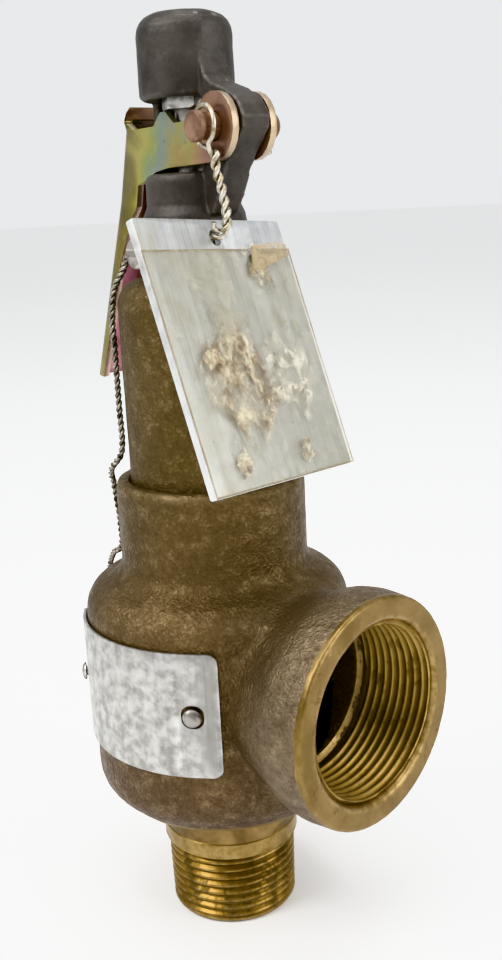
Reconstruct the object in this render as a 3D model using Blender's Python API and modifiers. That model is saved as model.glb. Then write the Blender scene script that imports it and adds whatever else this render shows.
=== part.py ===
"""Bronze safety relief valve with a lifting lever, a wire seal and a hanging plate.

The valve axis is Z with the inlet face at z = 0, and the outlet points along +X.
The cap and its lever are screwed on a little past the outlet, by CAP_TURN about Z.
Each function builds one piece in the valve's own frame, from the sizes below.
"""

import math

import bmesh
import bpy
from mathutils import Euler, Matrix, Vector

MM = 0.001
GAP = 0.3 * MM
STEPS = 48
EDGE = 0.8 * MM

# Inlet nozzle
INLET_R = 17.55 * MM
INLET_THREAD_R = 16.7 * MM
INLET_THREAD_L = 19.2 * MM
INLET_COLLAR_L = 13.7 * MM
INLET_BORE_R = 12.0 * MM
SEAT_BORE_R = 8.6 * MM
SEAT_R = 10.4 * MM
NOZZLE_SCREW_R = 14.2 * MM
RING_SCREW_R = 12.2 * MM
SEAT_RISE = 18.8 * MM

# Body casting
BOWL_R = 33.0 * MM
BOWL_H = 58.5 * MM
BOWL_WALL = 5.0 * MM
BASE_WALL = 6.8 * MM
SHOULDER_R = 8.2 * MM
BASE_ROUND = 9.0 * MM
NECK_R = 23.2 * MM
NECK_H = 24.3 * MM
NECK_FILLET = 4.5 * MM
GUIDE_HOLE_R = 15.6 * MM

# Outlet
OUTLET_RISE = 33.4 * MM
OUTLET_REACH = 51.0 * MM
OUTLET_R = 27.3 * MM
OUTLET_BORE_R = 21.2 * MM
OUTLET_THREAD_L = 21.0 * MM

# Bonnet and the spring inside it
BONNET_R = 19.5 * MM
BONNET_ABOVE_NECK = 48.0 * MM
BONNET_IN_NECK = 15.5 * MM
BONNET_WALL = 4.2 * MM
BONNET_ROUND = 6.5 * MM
BONNET_TOP_WALL = 7.0 * MM
GUIDE_T = 3.9 * MM
GUIDE_BORE_R = 9.2 * MM
GUIDE_HUB_WALL = 4.0 * MM
GUIDE_HUB_H = 9.0 * MM
STEM_R = 3.2 * MM
SPRING_WIRE_R = 1.7 * MM
SPRING_CLEAR = 3.0 * MM
SPRING_TURNS = 6
SPRING_L = 36.0 * MM
STEP_T = 6.0 * MM
STEP_RIM = 0.4 * MM
SCREW_R = 6.5 * MM
JAM_NUT_T = 6.0 * MM
JAM_NUT_R = 9.4 * MM

# Cap with its window, seen from the lever's own plane
CAP_TURN = math.radians(-10.0)
SKIRT_R = 13.6 * MM
SKIRT_H = 13.5 * MM
SKIRT_WALL = 2.7 * MM
FLARE_R = 11.9 * MM
COLLAR_R = 10.9 * MM
COLLAR_H = 7.2 * MM
WINDOW_H = 16.0 * MM
DOME_R = 10.9 * MM
DOME_H = 18.2 * MM
DOME_ROUND = 4.6 * MM
DOME_WALL = 3.4 * MM
PILLAR_T = 7.0 * MM
LEG_T = 2.4 * MM

# Lever and its pin
PIN_X = 18.3 * MM
PIN_R = 2.8 * MM
PIN_ABOVE_COLLAR = 8.7 * MM
EAR_R = 7.2 * MM
LEVER_T = 1.6 * MM
LEVER_SIDE_GAP = 0.65 * MM
LEVER_BEND_R = 2.4 * MM
HANDLE_DROP = 58.5 * MM
HANDLE_OUT = 63.2 * MM
PIN_FRONT = 11.4 * MM
PIN_HEAD_T = 1.6 * MM
PIN_HEAD_OVER = 0.5 * MM
WASHER_T = 1.0 * MM
WASHER_RIM = 2.6 * MM
COTTER_R = 0.75 * MM
COTTER_REACH = 2.8 * MM
NUT_R = 6.2 * MM
NUT_T = 4.0 * MM

# Screws, nameplate, seal and hanging plate
RING_SCREW_SHANK_R = 2.6 * MM
RING_SCREW_HEAD_R = 4.6 * MM
RING_SCREW_HEAD_T = 4.4 * MM
RING_SCREW_AT = math.radians(175.0)
CAP_SCREW_SHANK_R = 1.8 * MM
CAP_SCREW_HEAD_R = 3.4 * MM
CAP_SCREW_HEAD_T = 3.9 * MM
CAP_SCREW_AT = math.radians(-95.0)
PLATE_T = 0.8 * MM
PLATE_W = 55.0 * MM
PLATE_H = 30.5 * MM
PLATE_AT = math.radians(-92.0)
PLATE_DROP = 1.4 * MM
RIVET_R = 1.95 * MM
RIVET_SPREAD = 42.0 * MM
RIVET_CROWN = 1.2 * MM
RIVET_DEPTH = 3.0 * MM
TAG_W = 48.2 * MM
TAG_H = 58.7 * MM
TAG_T = 1.8 * MM
TAG_HOLE_DROP = 4.1 * MM
TAG_HOLE_R = 1.8 * MM
TAG_HOLE_BELOW_PIN = 23.0 * MM
TAG_HOLE_OFF_BONNET = 1.785 * MM
TAG_HOLE_OFF_SKIRT = 6.8 * MM
TAG_AT = math.radians(-31.75)
TAG_TURN = (math.radians(-20.6), math.radians(3.2), math.radians(97.0))
TAG_WIRE_R = 1.15 * MM
FILM_T = 0.3 * MM
FILM_OVER = 0.4 * MM
FILM_TOP = -2.8 * MM
SEAL_WIRE_R = 0.85 * MM
SEAL_R = 4.4 * MM
SEAL_T = 3.2 * MM

# Levels up the valve axis
BODY_Z = INLET_THREAD_L + INLET_COLLAR_L + GAP
SEAT_Z = BODY_Z + SEAT_RISE
OUTLET_Z = BODY_Z + OUTLET_RISE
BOWL_TOP = BODY_Z + BOWL_H
NECK_TOP = BOWL_TOP + NECK_H
BONNET_Z = NECK_TOP - BONNET_IN_NECK
GUIDE_Z = BONNET_Z - GAP - GUIDE_T
BONNET_TOP = NECK_TOP + BONNET_ABOVE_NECK
LOW_STEP_Z = BONNET_Z + 3.5 * MM
SPRING_Z = LOW_STEP_Z + STEP_T + GAP
HIGH_STEP_Z = SPRING_Z + SPRING_L + GAP
SCREW_Z = HIGH_STEP_Z + STEP_T + GAP
CAP_Z = BONNET_TOP + GAP
COLLAR_Z = CAP_Z + SKIRT_H
COLLAR_TOP = COLLAR_Z + 2.0 * MM + COLLAR_H
DOME_Z = COLLAR_TOP + WINDOW_H
DOME_TOP = DOME_Z + DOME_H
PIN_Z = COLLAR_TOP + PIN_ABOVE_COLLAR
TOOTH_TOP = PIN_Z + 4.9 * MM
NUT_Z = TOOTH_TOP + GAP
SCREW_TOP = CAP_Z + JAM_NUT_T + 4.0 * MM
LEVER_IN = PILLAR_T / 2 + LEVER_SIDE_GAP
LEVER_OUT = LEVER_IN + LEVER_T
RING_Z = SEAT_Z - 8.5 * MM
RING_H = 7.0 * MM
RING_OUT = RING_SCREW_R + GAP + 3.6 * MM
NOTCH_DEPTH = 1.8 * MM
RING_SCREW_Z = RING_Z + RING_H / 2
SCREW_BOSS_END = BOWL_R + 2.5 * MM
CAP_SCREW_Z = CAP_Z + 5.5 * MM
CAP_SCREW_FACE = SKIRT_R + GAP
SPRING_R = BONNET_R - BONNET_WALL - SPRING_CLEAR - SPRING_WIRE_R
TAG_WIRE_PLANE = -8.2 * MM
TAG_HOLE_OUT = max(BONNET_R + TAG_HOLE_OFF_BONNET, SKIRT_R + TAG_HOLE_OFF_SKIRT)
TAG_HOLE_Z = PIN_Z - TAG_HOLE_BELOW_PIN
TAG_HOLE_AT = Vector((TAG_HOLE_OUT * math.cos(TAG_AT), TAG_HOLE_OUT * math.sin(TAG_AT), TAG_HOLE_Z))

PARTS = None
CUTTERS = None


def clear_scene():
    for obj in list(bpy.data.objects):
        bpy.data.objects.remove(obj, do_unlink=True)


def add_collection(name):
    collection = bpy.data.collections.new(name)
    bpy.context.scene.collection.children.link(collection)
    return collection


def material(name, colour, roughness, metallic):
    """A plain finish, made once and shared by the pieces of the same metal."""
    found = bpy.data.materials.get(name)
    if found:
        return found
    made = bpy.data.materials.new(name)
    made.use_nodes = True
    shader = made.node_tree.nodes["Principled BSDF"]
    shader.inputs["Base Color"].default_value = (*colour, 1.0)
    shader.inputs["Roughness"].default_value = roughness
    shader.inputs["Metallic"].default_value = metallic
    return made


def bronze_cast(name):
    return material(name + "_cast_bronze", (0.16, 0.10, 0.045), 0.55, 0.8)


def brass(name):
    return material(name + "_brass", (0.45, 0.30, 0.10), 0.35, 1.0)


def steel(name):
    return material(name + "_steel", (0.45, 0.44, 0.42), 0.4, 1.0)


def arc(centre_x, centre_z, radius, start, end, count):
    """Points on a circle from one angle to another, in degrees."""
    angles = [math.radians(start + (end - start) * i / (count - 1)) for i in range(count)]
    return [(centre_x + radius * math.cos(a), centre_z + radius * math.sin(a)) for a in angles]


def is_part(obj, finish):
    PARTS.objects.link(obj)
    obj.data.materials.clear()
    obj.data.materials.append(finish)
    return obj


def is_cutter(obj):
    CUTTERS.objects.link(obj)
    obj.hide_render = True
    obj.display_type = "WIRE"
    return obj


def turned(name, profile, closed=False):
    """A turned solid: the profile runs from the top down its outer side, and back up inside if closed."""
    mesh = bpy.data.meshes.new(name)
    edges = [(i, i + 1) for i in range(len(profile) - 1)]
    if closed:
        edges.append((len(profile) - 1, 0))
    mesh.from_pydata([(r, 0.0, z) for r, z in profile], edges, [])
    obj = bpy.data.objects.new(name, mesh)
    screw = obj.modifiers.new("turn", "SCREW")
    screw.steps = STEPS
    screw.render_steps = STEPS
    screw.use_merge_vertices = True
    screw.merge_threshold = 0.00001
    screw.use_smooth_shade = True
    return obj


def rod(name, radius, length, steps=24):
    """A plain cylinder along its own Z, starting at its origin."""
    obj = turned(name, [(0.0, length), (radius, length), (radius, 0.0), (0.0, 0.0)])
    obj.modifiers["turn"].steps = steps
    obj.modifiers["turn"].render_steps = steps
    return obj


def boolean(target, tool, operation="DIFFERENCE"):
    modifier = target.modifiers.new(tool.name, "BOOLEAN")
    modifier.operation = operation
    modifier.solver = "EXACT"
    modifier.object = tool


def cut(target, tool):
    if tool.name not in CUTTERS.objects:
        is_cutter(tool)
    boolean(target, tool)


def add(target, tool):
    if tool.name not in CUTTERS.objects:
        is_cutter(tool)
    boolean(target, tool, "UNION")


def real_mesh(obj, name):
    """The object as it is evaluated, as a closed mesh in the valve's frame."""
    bpy.context.view_layer.update()
    evaluated = obj.evaluated_get(bpy.context.evaluated_depsgraph_get())
    mesh = bpy.data.meshes.new_from_object(evaluated)
    mesh.name = name
    mesh.transform(obj.matrix_world)
    work = bmesh.new()
    work.from_mesh(mesh)
    bmesh.ops.remove_doubles(work, verts=work.verts, dist=0.000001)
    work.to_mesh(mesh)
    work.free()
    return mesh


def outline_solid(name, outline, low_y, high_y):
    """A flat outline in X and Z, given thickness along Y."""
    curve = bpy.data.curves.new(name + "_outline", "CURVE")
    curve.dimensions = "2D"
    curve.fill_mode = "BOTH"
    curve.extrude = (high_y - low_y) / 2
    spline = curve.splines.new("POLY")
    spline.points.add(len(outline) - 1)
    for point, (x, z) in zip(spline.points, outline):
        point.co = (x, z, 0.0, 1.0)
    spline.use_cyclic_u = True
    drawn = bpy.data.objects.new(name + "_outline", curve)
    drawn.rotation_euler = (math.pi / 2, 0.0, 0.0)
    drawn.location = (0.0, (low_y + high_y) / 2, 0.0)
    PARTS.objects.link(drawn)
    mesh = real_mesh(drawn, name)
    bpy.data.objects.remove(drawn)
    work = bmesh.new()
    work.from_mesh(mesh)
    bmesh.ops.dissolve_limit(work, angle_limit=0.001, verts=work.verts, edges=work.edges)
    bmesh.ops.recalc_face_normals(work, faces=work.faces)
    work.to_mesh(mesh)
    work.free()
    return bpy.data.objects.new(name, mesh)


def smooth_path(points, per_span=4):
    """Points along a smooth curve through the given ones."""
    route = []
    padded = [points[0]] + list(points) + [points[-1]]
    for i in range(1, len(padded) - 2):
        before, start, end, after = padded[i - 1 : i + 3]
        for j in range(per_span):
            t = j / per_span
            route.append(
                0.5
                * (
                    2 * start
                    + (end - before) * t
                    + (2 * before - 5 * start + 4 * end - after) * t * t
                    + (3 * start - before - 3 * end + after) * t * t * t
                )
            )
    route.append(points[-1])
    return route


def tube(name, points, radius):
    curve = bpy.data.curves.new(name, "CURVE")
    curve.dimensions = "3D"
    curve.bevel_depth = radius
    curve.bevel_resolution = 2
    curve.use_fill_caps = True
    spline = curve.splines.new("POLY")
    spline.points.add(len(points) - 1)
    for point, place in zip(spline.points, points):
        point.co = (*place, 1.0)
    return bpy.data.objects.new(name, curve)


def around(angle, radius, z):
    return Vector((radius * math.cos(angle), radius * math.sin(angle), z))


def point_out(obj, angle, radius, z):
    """Lays a turned piece on its side so that its own Z points outwards at this angle."""
    obj.rotation_euler = (0.0, math.pi / 2, angle)
    obj.location = around(angle, radius, z)
    return obj


def empty(name, location=(0.0, 0.0, 0.0), turn=0.0, parent=None):
    obj = bpy.data.objects.new(name, None)
    obj.location = location
    obj.rotation_euler = (0.0, 0.0, turn)
    obj.parent = parent
    PARTS.objects.link(obj)
    return obj


def nozzle_piece():
    top = BODY_Z + BASE_WALL
    profile = [
        (SEAT_BORE_R, SEAT_Z),
        (SEAT_R, SEAT_Z),
        (RING_SCREW_R, SEAT_Z - 1.2 * MM),
        (RING_SCREW_R, top),
        (NOZZLE_SCREW_R, top),
        (NOZZLE_SCREW_R, BODY_Z - GAP),
        (INLET_R - 0.2 * MM, BODY_Z - GAP),
        (INLET_R - 0.2 * MM, INLET_THREAD_L + 4.6 * MM),
        (INLET_R, INLET_THREAD_L + 4.4 * MM),
        (INLET_R, INLET_THREAD_L),
        (INLET_THREAD_R, INLET_THREAD_L - 0.6 * MM),
        (INLET_THREAD_R - 0.3 * MM, 1.2 * MM),
        (INLET_THREAD_R - 1.1 * MM, 0.0),
        (INLET_BORE_R, 0.0),
        (INLET_BORE_R, INLET_THREAD_L),
        (SEAT_BORE_R, BODY_Z + 3.0 * MM),
    ]
    return is_part(turned("nozzle", profile, closed=True), brass("nozzle"))


def body_outside():
    """The cast body's outline, from the top of the neck down to the machined base."""
    fillet_x = NECK_R + NECK_FILLET
    shoulder_x = BOWL_R - SHOULDER_R
    base_x = BOWL_R - BASE_ROUND
    profile = [(0.0, NECK_TOP), (NECK_R - EDGE, NECK_TOP), (NECK_R, NECK_TOP - EDGE)]
    profile += arc(fillet_x, BOWL_TOP + NECK_FILLET, NECK_FILLET, 180, 250, 6)
    profile += arc(shoulder_x, BOWL_TOP - SHOULDER_R, SHOULDER_R, 62, 0, 6)
    profile += arc(base_x, BODY_Z + BASE_ROUND + 0.6 * MM, BASE_ROUND, 0, -58, 6)
    profile += [(base_x + 3.0 * MM, BODY_Z), (0.0, BODY_Z)]
    return profile


def body_hollow():
    """Everything inside the casting: bonnet socket, guide ledge, bowl and the hole for the nozzle."""
    inside = BOWL_R - BOWL_WALL
    socket = BONNET_R + GAP
    floor = BODY_Z + BASE_WALL
    roof = BOWL_TOP - BOWL_WALL
    return [
        (0.0, NECK_TOP + EDGE),
        (socket, NECK_TOP + EDGE),
        (socket, GUIDE_Z - GAP),
        (GUIDE_HOLE_R, GUIDE_Z - GAP),
        (GUIDE_HOLE_R, roof + 3.0 * MM),
        (inside - SHOULDER_R, roof),
        (inside, roof - SHOULDER_R),
        (inside, floor + 4.0 * MM),
        (inside - 4.0 * MM, floor),
        (NOZZLE_SCREW_R + GAP, floor),
        (NOZZLE_SCREW_R + GAP, BODY_Z - EDGE),
        (0.0, BODY_Z - EDGE),
    ]


def along_outlet(obj):
    obj.rotation_euler = (0.0, math.pi / 2, 0.0)
    obj.location = (0.0, 0.0, OUTLET_Z)
    return obj


def body_piece():
    body = is_part(turned("body", body_outside()), bronze_cast("body"))
    waist = OUTLET_R - 5.4 * MM
    boss = [
        (0.0, OUTLET_REACH),
        (OUTLET_R - EDGE, OUTLET_REACH),
        (OUTLET_R, OUTLET_REACH - EDGE),
        (OUTLET_R + 0.5 * MM, OUTLET_REACH - 7.0 * MM),
        (OUTLET_R, OUTLET_REACH - 11.0 * MM),
        (OUTLET_R - 2.2 * MM, OUTLET_REACH - 16.5 * MM),
        (waist, OUTLET_REACH - 26.0 * MM),
        (waist, 0.0),
        (0.0, 0.0),
    ]
    add(body, along_outlet(turned("outlet_boss", boss)))
    screw_boss = rod("screw_boss", 6.0 * MM, SCREW_BOSS_END - BOWL_R + 4.0 * MM)
    add(body, point_out(screw_boss, RING_SCREW_AT, BOWL_R - 4.0 * MM, RING_SCREW_Z))
    cut(body, turned("body_hollow", body_hollow()))
    mouth = [
        (0.0, OUTLET_REACH + EDGE),
        (OUTLET_BORE_R + 2 * EDGE, OUTLET_REACH + EDGE),
        (OUTLET_BORE_R, OUTLET_REACH - EDGE),
        (OUTLET_BORE_R - 0.5 * MM, OUTLET_REACH - OUTLET_THREAD_L),
        (OUTLET_BORE_R - 2.0 * MM, OUTLET_REACH - OUTLET_THREAD_L - 1.0 * MM),
        (OUTLET_BORE_R - 2.0 * MM, RING_OUT),
        (0.0, RING_OUT),
    ]
    cut(body, along_outlet(turned("outlet_bore", mouth)))
    hole = rod("ring_screw_hole", RING_SCREW_SHANK_R + GAP, BOWL_R)
    cut(body, point_out(hole, RING_SCREW_AT, RING_OUT, RING_SCREW_Z))
    for index, angle in enumerate(rivet_angles()):
        hole = rod("body_rivet_hole_%d" % index, RIVET_R * 0.6 + GAP, 8.0 * MM, 16)
        cut(body, point_out(hole, angle, BOWL_R - RIVET_DEPTH - 0.5 * MM, plate_middle()))
    return body


def bonnet_piece():
    inside = BONNET_R - BONNET_WALL
    round_x = BONNET_R - BONNET_ROUND
    profile = arc(round_x, BONNET_TOP - BONNET_ROUND, BONNET_ROUND, 90, 0, 7)
    profile += [
        (BONNET_R, NECK_TOP + 1.5 * MM),
        (BONNET_R, BONNET_Z),
        (inside, BONNET_Z),
        (inside, BONNET_TOP - BONNET_TOP_WALL - 2.0 * MM),
        (inside - 2.0 * MM, BONNET_TOP - BONNET_TOP_WALL),
        (SCREW_R + GAP, BONNET_TOP - BONNET_TOP_WALL),
        (SCREW_R + GAP, BONNET_TOP),
    ]
    return is_part(turned("bonnet", profile, closed=True), bronze_cast("bonnet"))


def guide_piece():
    hub = GUIDE_BORE_R + GUIDE_HUB_WALL
    profile = [
        (GUIDE_BORE_R, GUIDE_Z + GUIDE_T),
        (BONNET_R, GUIDE_Z + GUIDE_T),
        (BONNET_R, GUIDE_Z),
        (hub, GUIDE_Z),
        (hub, GUIDE_Z - GUIDE_HUB_H),
        (GUIDE_BORE_R, GUIDE_Z - GUIDE_HUB_H),
    ]
    return is_part(turned("guide", profile, closed=True), brass("guide"))


def ring_piece():
    """The blowdown ring: screwed on the nozzle, with notches that its lock screw drops into."""
    inner = RING_SCREW_R + GAP
    profile = [
        (inner, RING_Z + RING_H),
        (RING_OUT - 1.0 * MM, RING_Z + RING_H),
        (RING_OUT, RING_Z + RING_H - 1.0 * MM),
        (RING_OUT, RING_Z),
        (inner, RING_Z),
    ]
    ring = is_part(turned("regulator_ring", profile, closed=True), brass("regulator_ring"))
    count = 10
    for index in range(count):
        angle = RING_SCREW_AT + 2 * math.pi * index / count
        notch = rod("ring_notch_%d" % index, 1.7 * MM, 4.0 * MM, 12)
        cut(ring, point_out(notch, angle, RING_OUT - NOTCH_DEPTH, RING_SCREW_Z))
    return ring


def drilled_screw(name, shank, tip, tip_end, face, head, head_t, angle, z, hole_turn):
    """A fillister screw along a radius, its head drilled across for the sealing wire."""
    profile = [
        (0.0, face - tip_end + GAP + head_t),
        (head - 0.5 * MM, face - tip_end + GAP + head_t),
        (head, face - tip_end + GAP + head_t - 0.5 * MM),
        (head, face - tip_end + GAP),
        (shank, face - tip_end + GAP),
        (shank, 2.0 * MM),
        (tip, 1.6 * MM),
        (tip, 0.0),
        (0.0, 0.0),
    ]
    screw = is_part(turned(name, profile), steel(name))
    screw.modifiers["turn"].steps = 24
    screw.modifiers["turn"].render_steps = 24
    point_out(screw, angle, tip_end, z)
    hole = rod(name + "_wire_hole", SEAL_WIRE_R + GAP, 4 * head, 12)
    direction = hole_turn @ Vector((0.0, 0.0, 1.0))
    hole.rotation_euler = direction.to_track_quat("Z", "Y").to_euler()
    hole.location = around(angle, face + GAP + head_t / 2, z) - direction * 2 * head
    cut(screw, hole)
    slot_z = face + GAP + head_t
    bpy.ops.mesh.primitive_cube_add(size=1.0)
    slot = bpy.context.object
    slot.name = name + "_slot"
    slot.data.transform(Matrix.Diagonal((1.4 * MM, 3 * head, 0.9 * MM, 1.0)))
    for collection in list(slot.users_collection):
        collection.objects.unlink(slot)
    point_out(slot, angle, slot_z, z)
    cut(screw, slot)
    return screw


def disc_piece():
    top = SEAT_Z + 6.0 * MM
    lip = SEAT_R + 1.8 * MM
    profile = [
        (0.0, top),
        (lip - 2.0 * MM, top),
        (lip, top - 2.0 * MM),
        (lip, SEAT_Z + GAP),
        (0.0, SEAT_Z + GAP),
    ]
    return is_part(turned("disc", profile), steel("disc"))


def holder_piece():
    """The holder that carries the disc and slides in the guide's bore."""
    low = SEAT_Z + 6.0 * MM + GAP
    top = GUIDE_Z + 1.0 * MM
    slide = GUIDE_BORE_R - GAP
    profile = [
        (0.0, low + 6.0 * MM),
        (STEM_R + GAP, low + 6.0 * MM),
        (STEM_R + GAP, top),
        (slide, top),
        (slide, low + 4.5 * MM),
        (SEAT_R + 2.5 * MM, low + 3.0 * MM),
        (SEAT_R + 2.5 * MM, low),
        (0.0, low),
    ]
    return is_part(turned("disc_holder", profile), brass("disc_holder"))


def stem_piece():
    low = SEAT_Z + 12.3 * MM + GAP
    collar = LOW_STEP_Z - GAP
    top = NUT_Z + 2 * NUT_T + 1.5 * MM
    profile = [
        (0.0, top),
        (STEM_R - 0.6 * MM, top),
        (STEM_R, top - 0.6 * MM),
        (STEM_R, collar),
        (STEM_R + 2.8 * MM, collar),
        (STEM_R + 2.8 * MM, collar - 2.2 * MM),
        (STEM_R, collar - 2.2 * MM),
        (STEM_R, low),
        (0.0, low),
    ]
    return is_part(turned("stem", profile), steel("stem"))


def step_piece(name, z, up):
    """A spring step: a turned washer whose hub centres the spring's end coil."""
    bore = STEM_R + GAP
    hub = SPRING_R - SPRING_WIRE_R - 2 * GAP
    rim = SPRING_R + SPRING_WIRE_R + STEP_RIM
    flange = STEP_T / 2
    profile = [(bore, flange), (hub, flange), (hub, 0.0), (rim, 0.0), (rim, -flange), (bore, -flange)]
    if not up:
        profile = [(r, -h) for r, h in reversed(profile)]
    seat = z + flange if up else z + STEP_T - flange
    placed = [(r, seat + h) for r, h in profile]
    return is_part(turned(name, placed, closed=True), steel(name))


def spring_piece():
    """The main spring, with a closed turn at each end."""
    low = LOW_STEP_Z + STEP_T / 2 + GAP + SPRING_WIRE_R
    high = HIGH_STEP_Z + STEP_T / 2 - GAP - SPRING_WIRE_R
    per_turn = 20
    total = (SPRING_TURNS + 2) * per_turn
    closed_rise = 2 * SPRING_WIRE_R + GAP
    points = []
    for i in range(total + 1):
        turn = i / per_turn
        if turn <= 1.0:
            z = low + closed_rise * turn
        elif turn >= SPRING_TURNS + 1:
            z = high - closed_rise * (SPRING_TURNS + 2 - turn)
        else:
            share = (turn - 1.0) / SPRING_TURNS
            z = low + closed_rise + (high - low - 2 * closed_rise) * share
        points.append(around(2 * math.pi * turn, SPRING_R, z))
    spring = is_part(tube("spring", points, SPRING_WIRE_R), steel("spring"))
    spring.data.bevel_resolution = 1
    return spring


def compression_screw_piece():
    bore = STEM_R + GAP
    profile = [
        (bore, SCREW_TOP),
        (SCREW_R - 0.8 * MM, SCREW_TOP),
        (SCREW_R, SCREW_TOP - 0.8 * MM),
        (SCREW_R, SCREW_Z),
        (bore, SCREW_Z),
    ]
    return is_part(turned("compression_screw", profile, closed=True), brass("compression_screw"))


def hex_nut(name, z, radius, thickness, bore, finish):
    """A hexagon nut with its corners turned down at both faces."""
    bpy.ops.mesh.primitive_cylinder_add(vertices=6, radius=radius, depth=thickness)
    nut = bpy.context.object
    nut.name = name
    nut.data.transform(Matrix.Translation((0.0, 0.0, z + thickness / 2)))
    nut.location = (0.0, 0.0, 0.0)
    for collection in list(nut.users_collection):
        collection.objects.unlink(nut)
    is_part(nut, finish)
    crown = radius * math.cos(math.pi / 6)
    rounding = turned(
        name + "_crown",
        [
            (0.0, z + thickness + GAP),
            (crown, z + thickness + GAP),
            (radius + GAP, z + thickness * 0.8),
            (radius + GAP, z + thickness * 0.2),
            (crown, z - GAP),
            (0.0, z - GAP),
        ],
    )
    is_cutter(rounding)
    boolean(nut, rounding, "INTERSECT")
    hole = rod(name + "_bore", bore, thickness * 2, 32)
    hole.location = (0.0, 0.0, z - thickness / 2)
    cut(nut, hole)
    return nut


def cap_pillar():
    """The outline of the heavy side of the cap, which carries the lever pin."""
    return [
        (DOME_R * 0.7, DOME_Z + 9.0 * MM),
        (DOME_R * 0.7, DOME_Z + 2.0 * MM),
        (DOME_R + 0.4 * MM, DOME_Z - 1.0 * MM),
        (COLLAR_R + 0.6 * MM, COLLAR_TOP + 2.0 * MM),
        (COLLAR_R * 0.8, COLLAR_TOP - 0.5 * MM),
        (COLLAR_R * 0.8, COLLAR_Z),
        (FLARE_R + 1.0 * MM, COLLAR_Z - 0.2 * MM),
        (PIN_X - 3.7 * MM, COLLAR_Z + 2.4 * MM),
        (PIN_X - 2.1 * MM, COLLAR_TOP - 4.7 * MM),
        (PIN_X + 0.1 * MM, PIN_Z - 8.9 * MM),
        (PIN_X + 2.8 * MM, PIN_Z - 5.7 * MM),
        (PIN_X + 5.4 * MM, PIN_Z - 3.1 * MM),
        (PIN_X + 7.6 * MM, PIN_Z - 0.7 * MM),
        (PIN_X + 7.9 * MM, PIN_Z + 1.6 * MM),
        (PIN_X + 6.5 * MM, PIN_Z + 4.1 * MM),
        (PIN_X + 4.7 * MM, PIN_Z + 5.8 * MM),
        (PIN_X + 0.6 * MM, PIN_Z + 7.9 * MM),
        (DOME_R + 3.0 * MM, DOME_Z + 2.3 * MM),
        (DOME_R + 1.2 * MM, DOME_Z + 4.0 * MM),
        (DOME_R - 0.2 * MM, DOME_Z + 8.5 * MM),
    ]


def cross_rod(name, radius, low_y, high_y, x=PIN_X, z=PIN_Z, steps=32):
    """A cylinder along Y in the cap's frame."""
    obj = rod(name, radius, high_y - low_y, steps)
    obj.rotation_euler = (-math.pi / 2, 0.0, 0.0)
    obj.location = (x, low_y, z)
    return obj


def cap_piece(frame):
    """The cap: a skirt over the adjusting screw, an open window for the lever, and a closed dome."""
    half = PILLAR_T / 2
    lower = [
        (0.0, COLLAR_TOP),
        (COLLAR_R - 1.4 * MM, COLLAR_TOP),
        (COLLAR_R - 0.4 * MM, COLLAR_TOP - 0.5 * MM),
        (COLLAR_R, COLLAR_TOP - 1.5 * MM),
        (COLLAR_R, COLLAR_Z + 2.0 * MM),
        (FLARE_R, COLLAR_Z),
        (SKIRT_R, CAP_Z + 2.0 * MM),
        (SKIRT_R, CAP_Z),
        (0.0, CAP_Z),
    ]
    dome = [(0.0, DOME_TOP)]
    dome += arc(DOME_R - DOME_ROUND, DOME_TOP - DOME_ROUND, DOME_ROUND, 90, 0, 6)
    dome += [(DOME_R, DOME_Z + EDGE), (DOME_R - EDGE, DOME_Z), (0.0, DOME_Z)]
    hollow_r = SKIRT_R - SKIRT_WALL
    hollow_top = SCREW_TOP + 1.0 * MM
    hollow = [
        (0.0, COLLAR_TOP + EDGE),
        (STEM_R + 4 * GAP, COLLAR_TOP + EDGE),
        (STEM_R + 4 * GAP, hollow_top + 2.0 * MM),
        (hollow_r - 2.5 * MM, hollow_top),
        (hollow_r, hollow_top - 4.5 * MM),
        (hollow_r, CAP_Z - EDGE),
        (0.0, CAP_Z - EDGE),
    ]
    cavity_top = DOME_TOP - DOME_ROUND - 1.5 * MM
    cavity_r = DOME_R - DOME_WALL
    cavity = [(0.0, cavity_top), (cavity_r, cavity_top), (cavity_r, DOME_Z - EDGE), (0.0, DOME_Z - EDGE)]
    cap = is_part(turned("cap", lower), material("cap_iron", (0.07, 0.062, 0.055), 0.45, 0.5))
    outer = -math.sqrt(DOME_R**2 - half**2) + GAP
    leg_outline = [
        (outer, COLLAR_TOP - 3.0 * MM),
        (outer + LEG_T, COLLAR_TOP - 3.0 * MM),
        (outer + LEG_T, DOME_Z + 2.5 * MM),
        (outer, DOME_Z + 2.5 * MM),
    ]
    tools = [
        (turned("cap_dome", dome), add),
        (outline_solid("cap_pillar", cap_pillar(), -half, half), add),
        (outline_solid("cap_leg", leg_outline, -half, half), add),
        (turned("cap_hollow", hollow), cut),
        (turned("cap_cavity", cavity), cut),
        (cross_rod("cap_pin_hole", PIN_R + GAP, -2 * half, 2 * half), cut),
    ]
    for tool, use in tools:
        use(cap, tool)
        tool.parent = frame
    cap.parent = frame
    hole = rod("cap_screw_hole", CAP_SCREW_SHANK_R + GAP, 2 * SKIRT_WALL + 2.0 * MM, 16)
    cut(cap, point_out(hole, CAP_SCREW_AT, hollow_r - SKIRT_WALL, CAP_SCREW_Z))
    return cap


def back_line():
    """The line of the lever's back, seen from the side, from the top of its bend to the end."""
    top = PIN_Z + 8.5 * MM
    end_x = PIN_X - HANDLE_OUT
    end_z = PIN_Z - HANDLE_DROP
    start = (PIN_X - 38.9 * MM, PIN_Z + 2.2 * MM)
    points = [(start[0], top), start]
    for share, bow in ((0.264, 1.4 * MM), (0.545, 0.9 * MM), (0.80, 0.35 * MM)):
        x = start[0] + (end_x - start[0]) * share + bow
        points.append((x, start[1] + (end_z - start[1]) * share))
    return points + [(end_x, end_z)]


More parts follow.
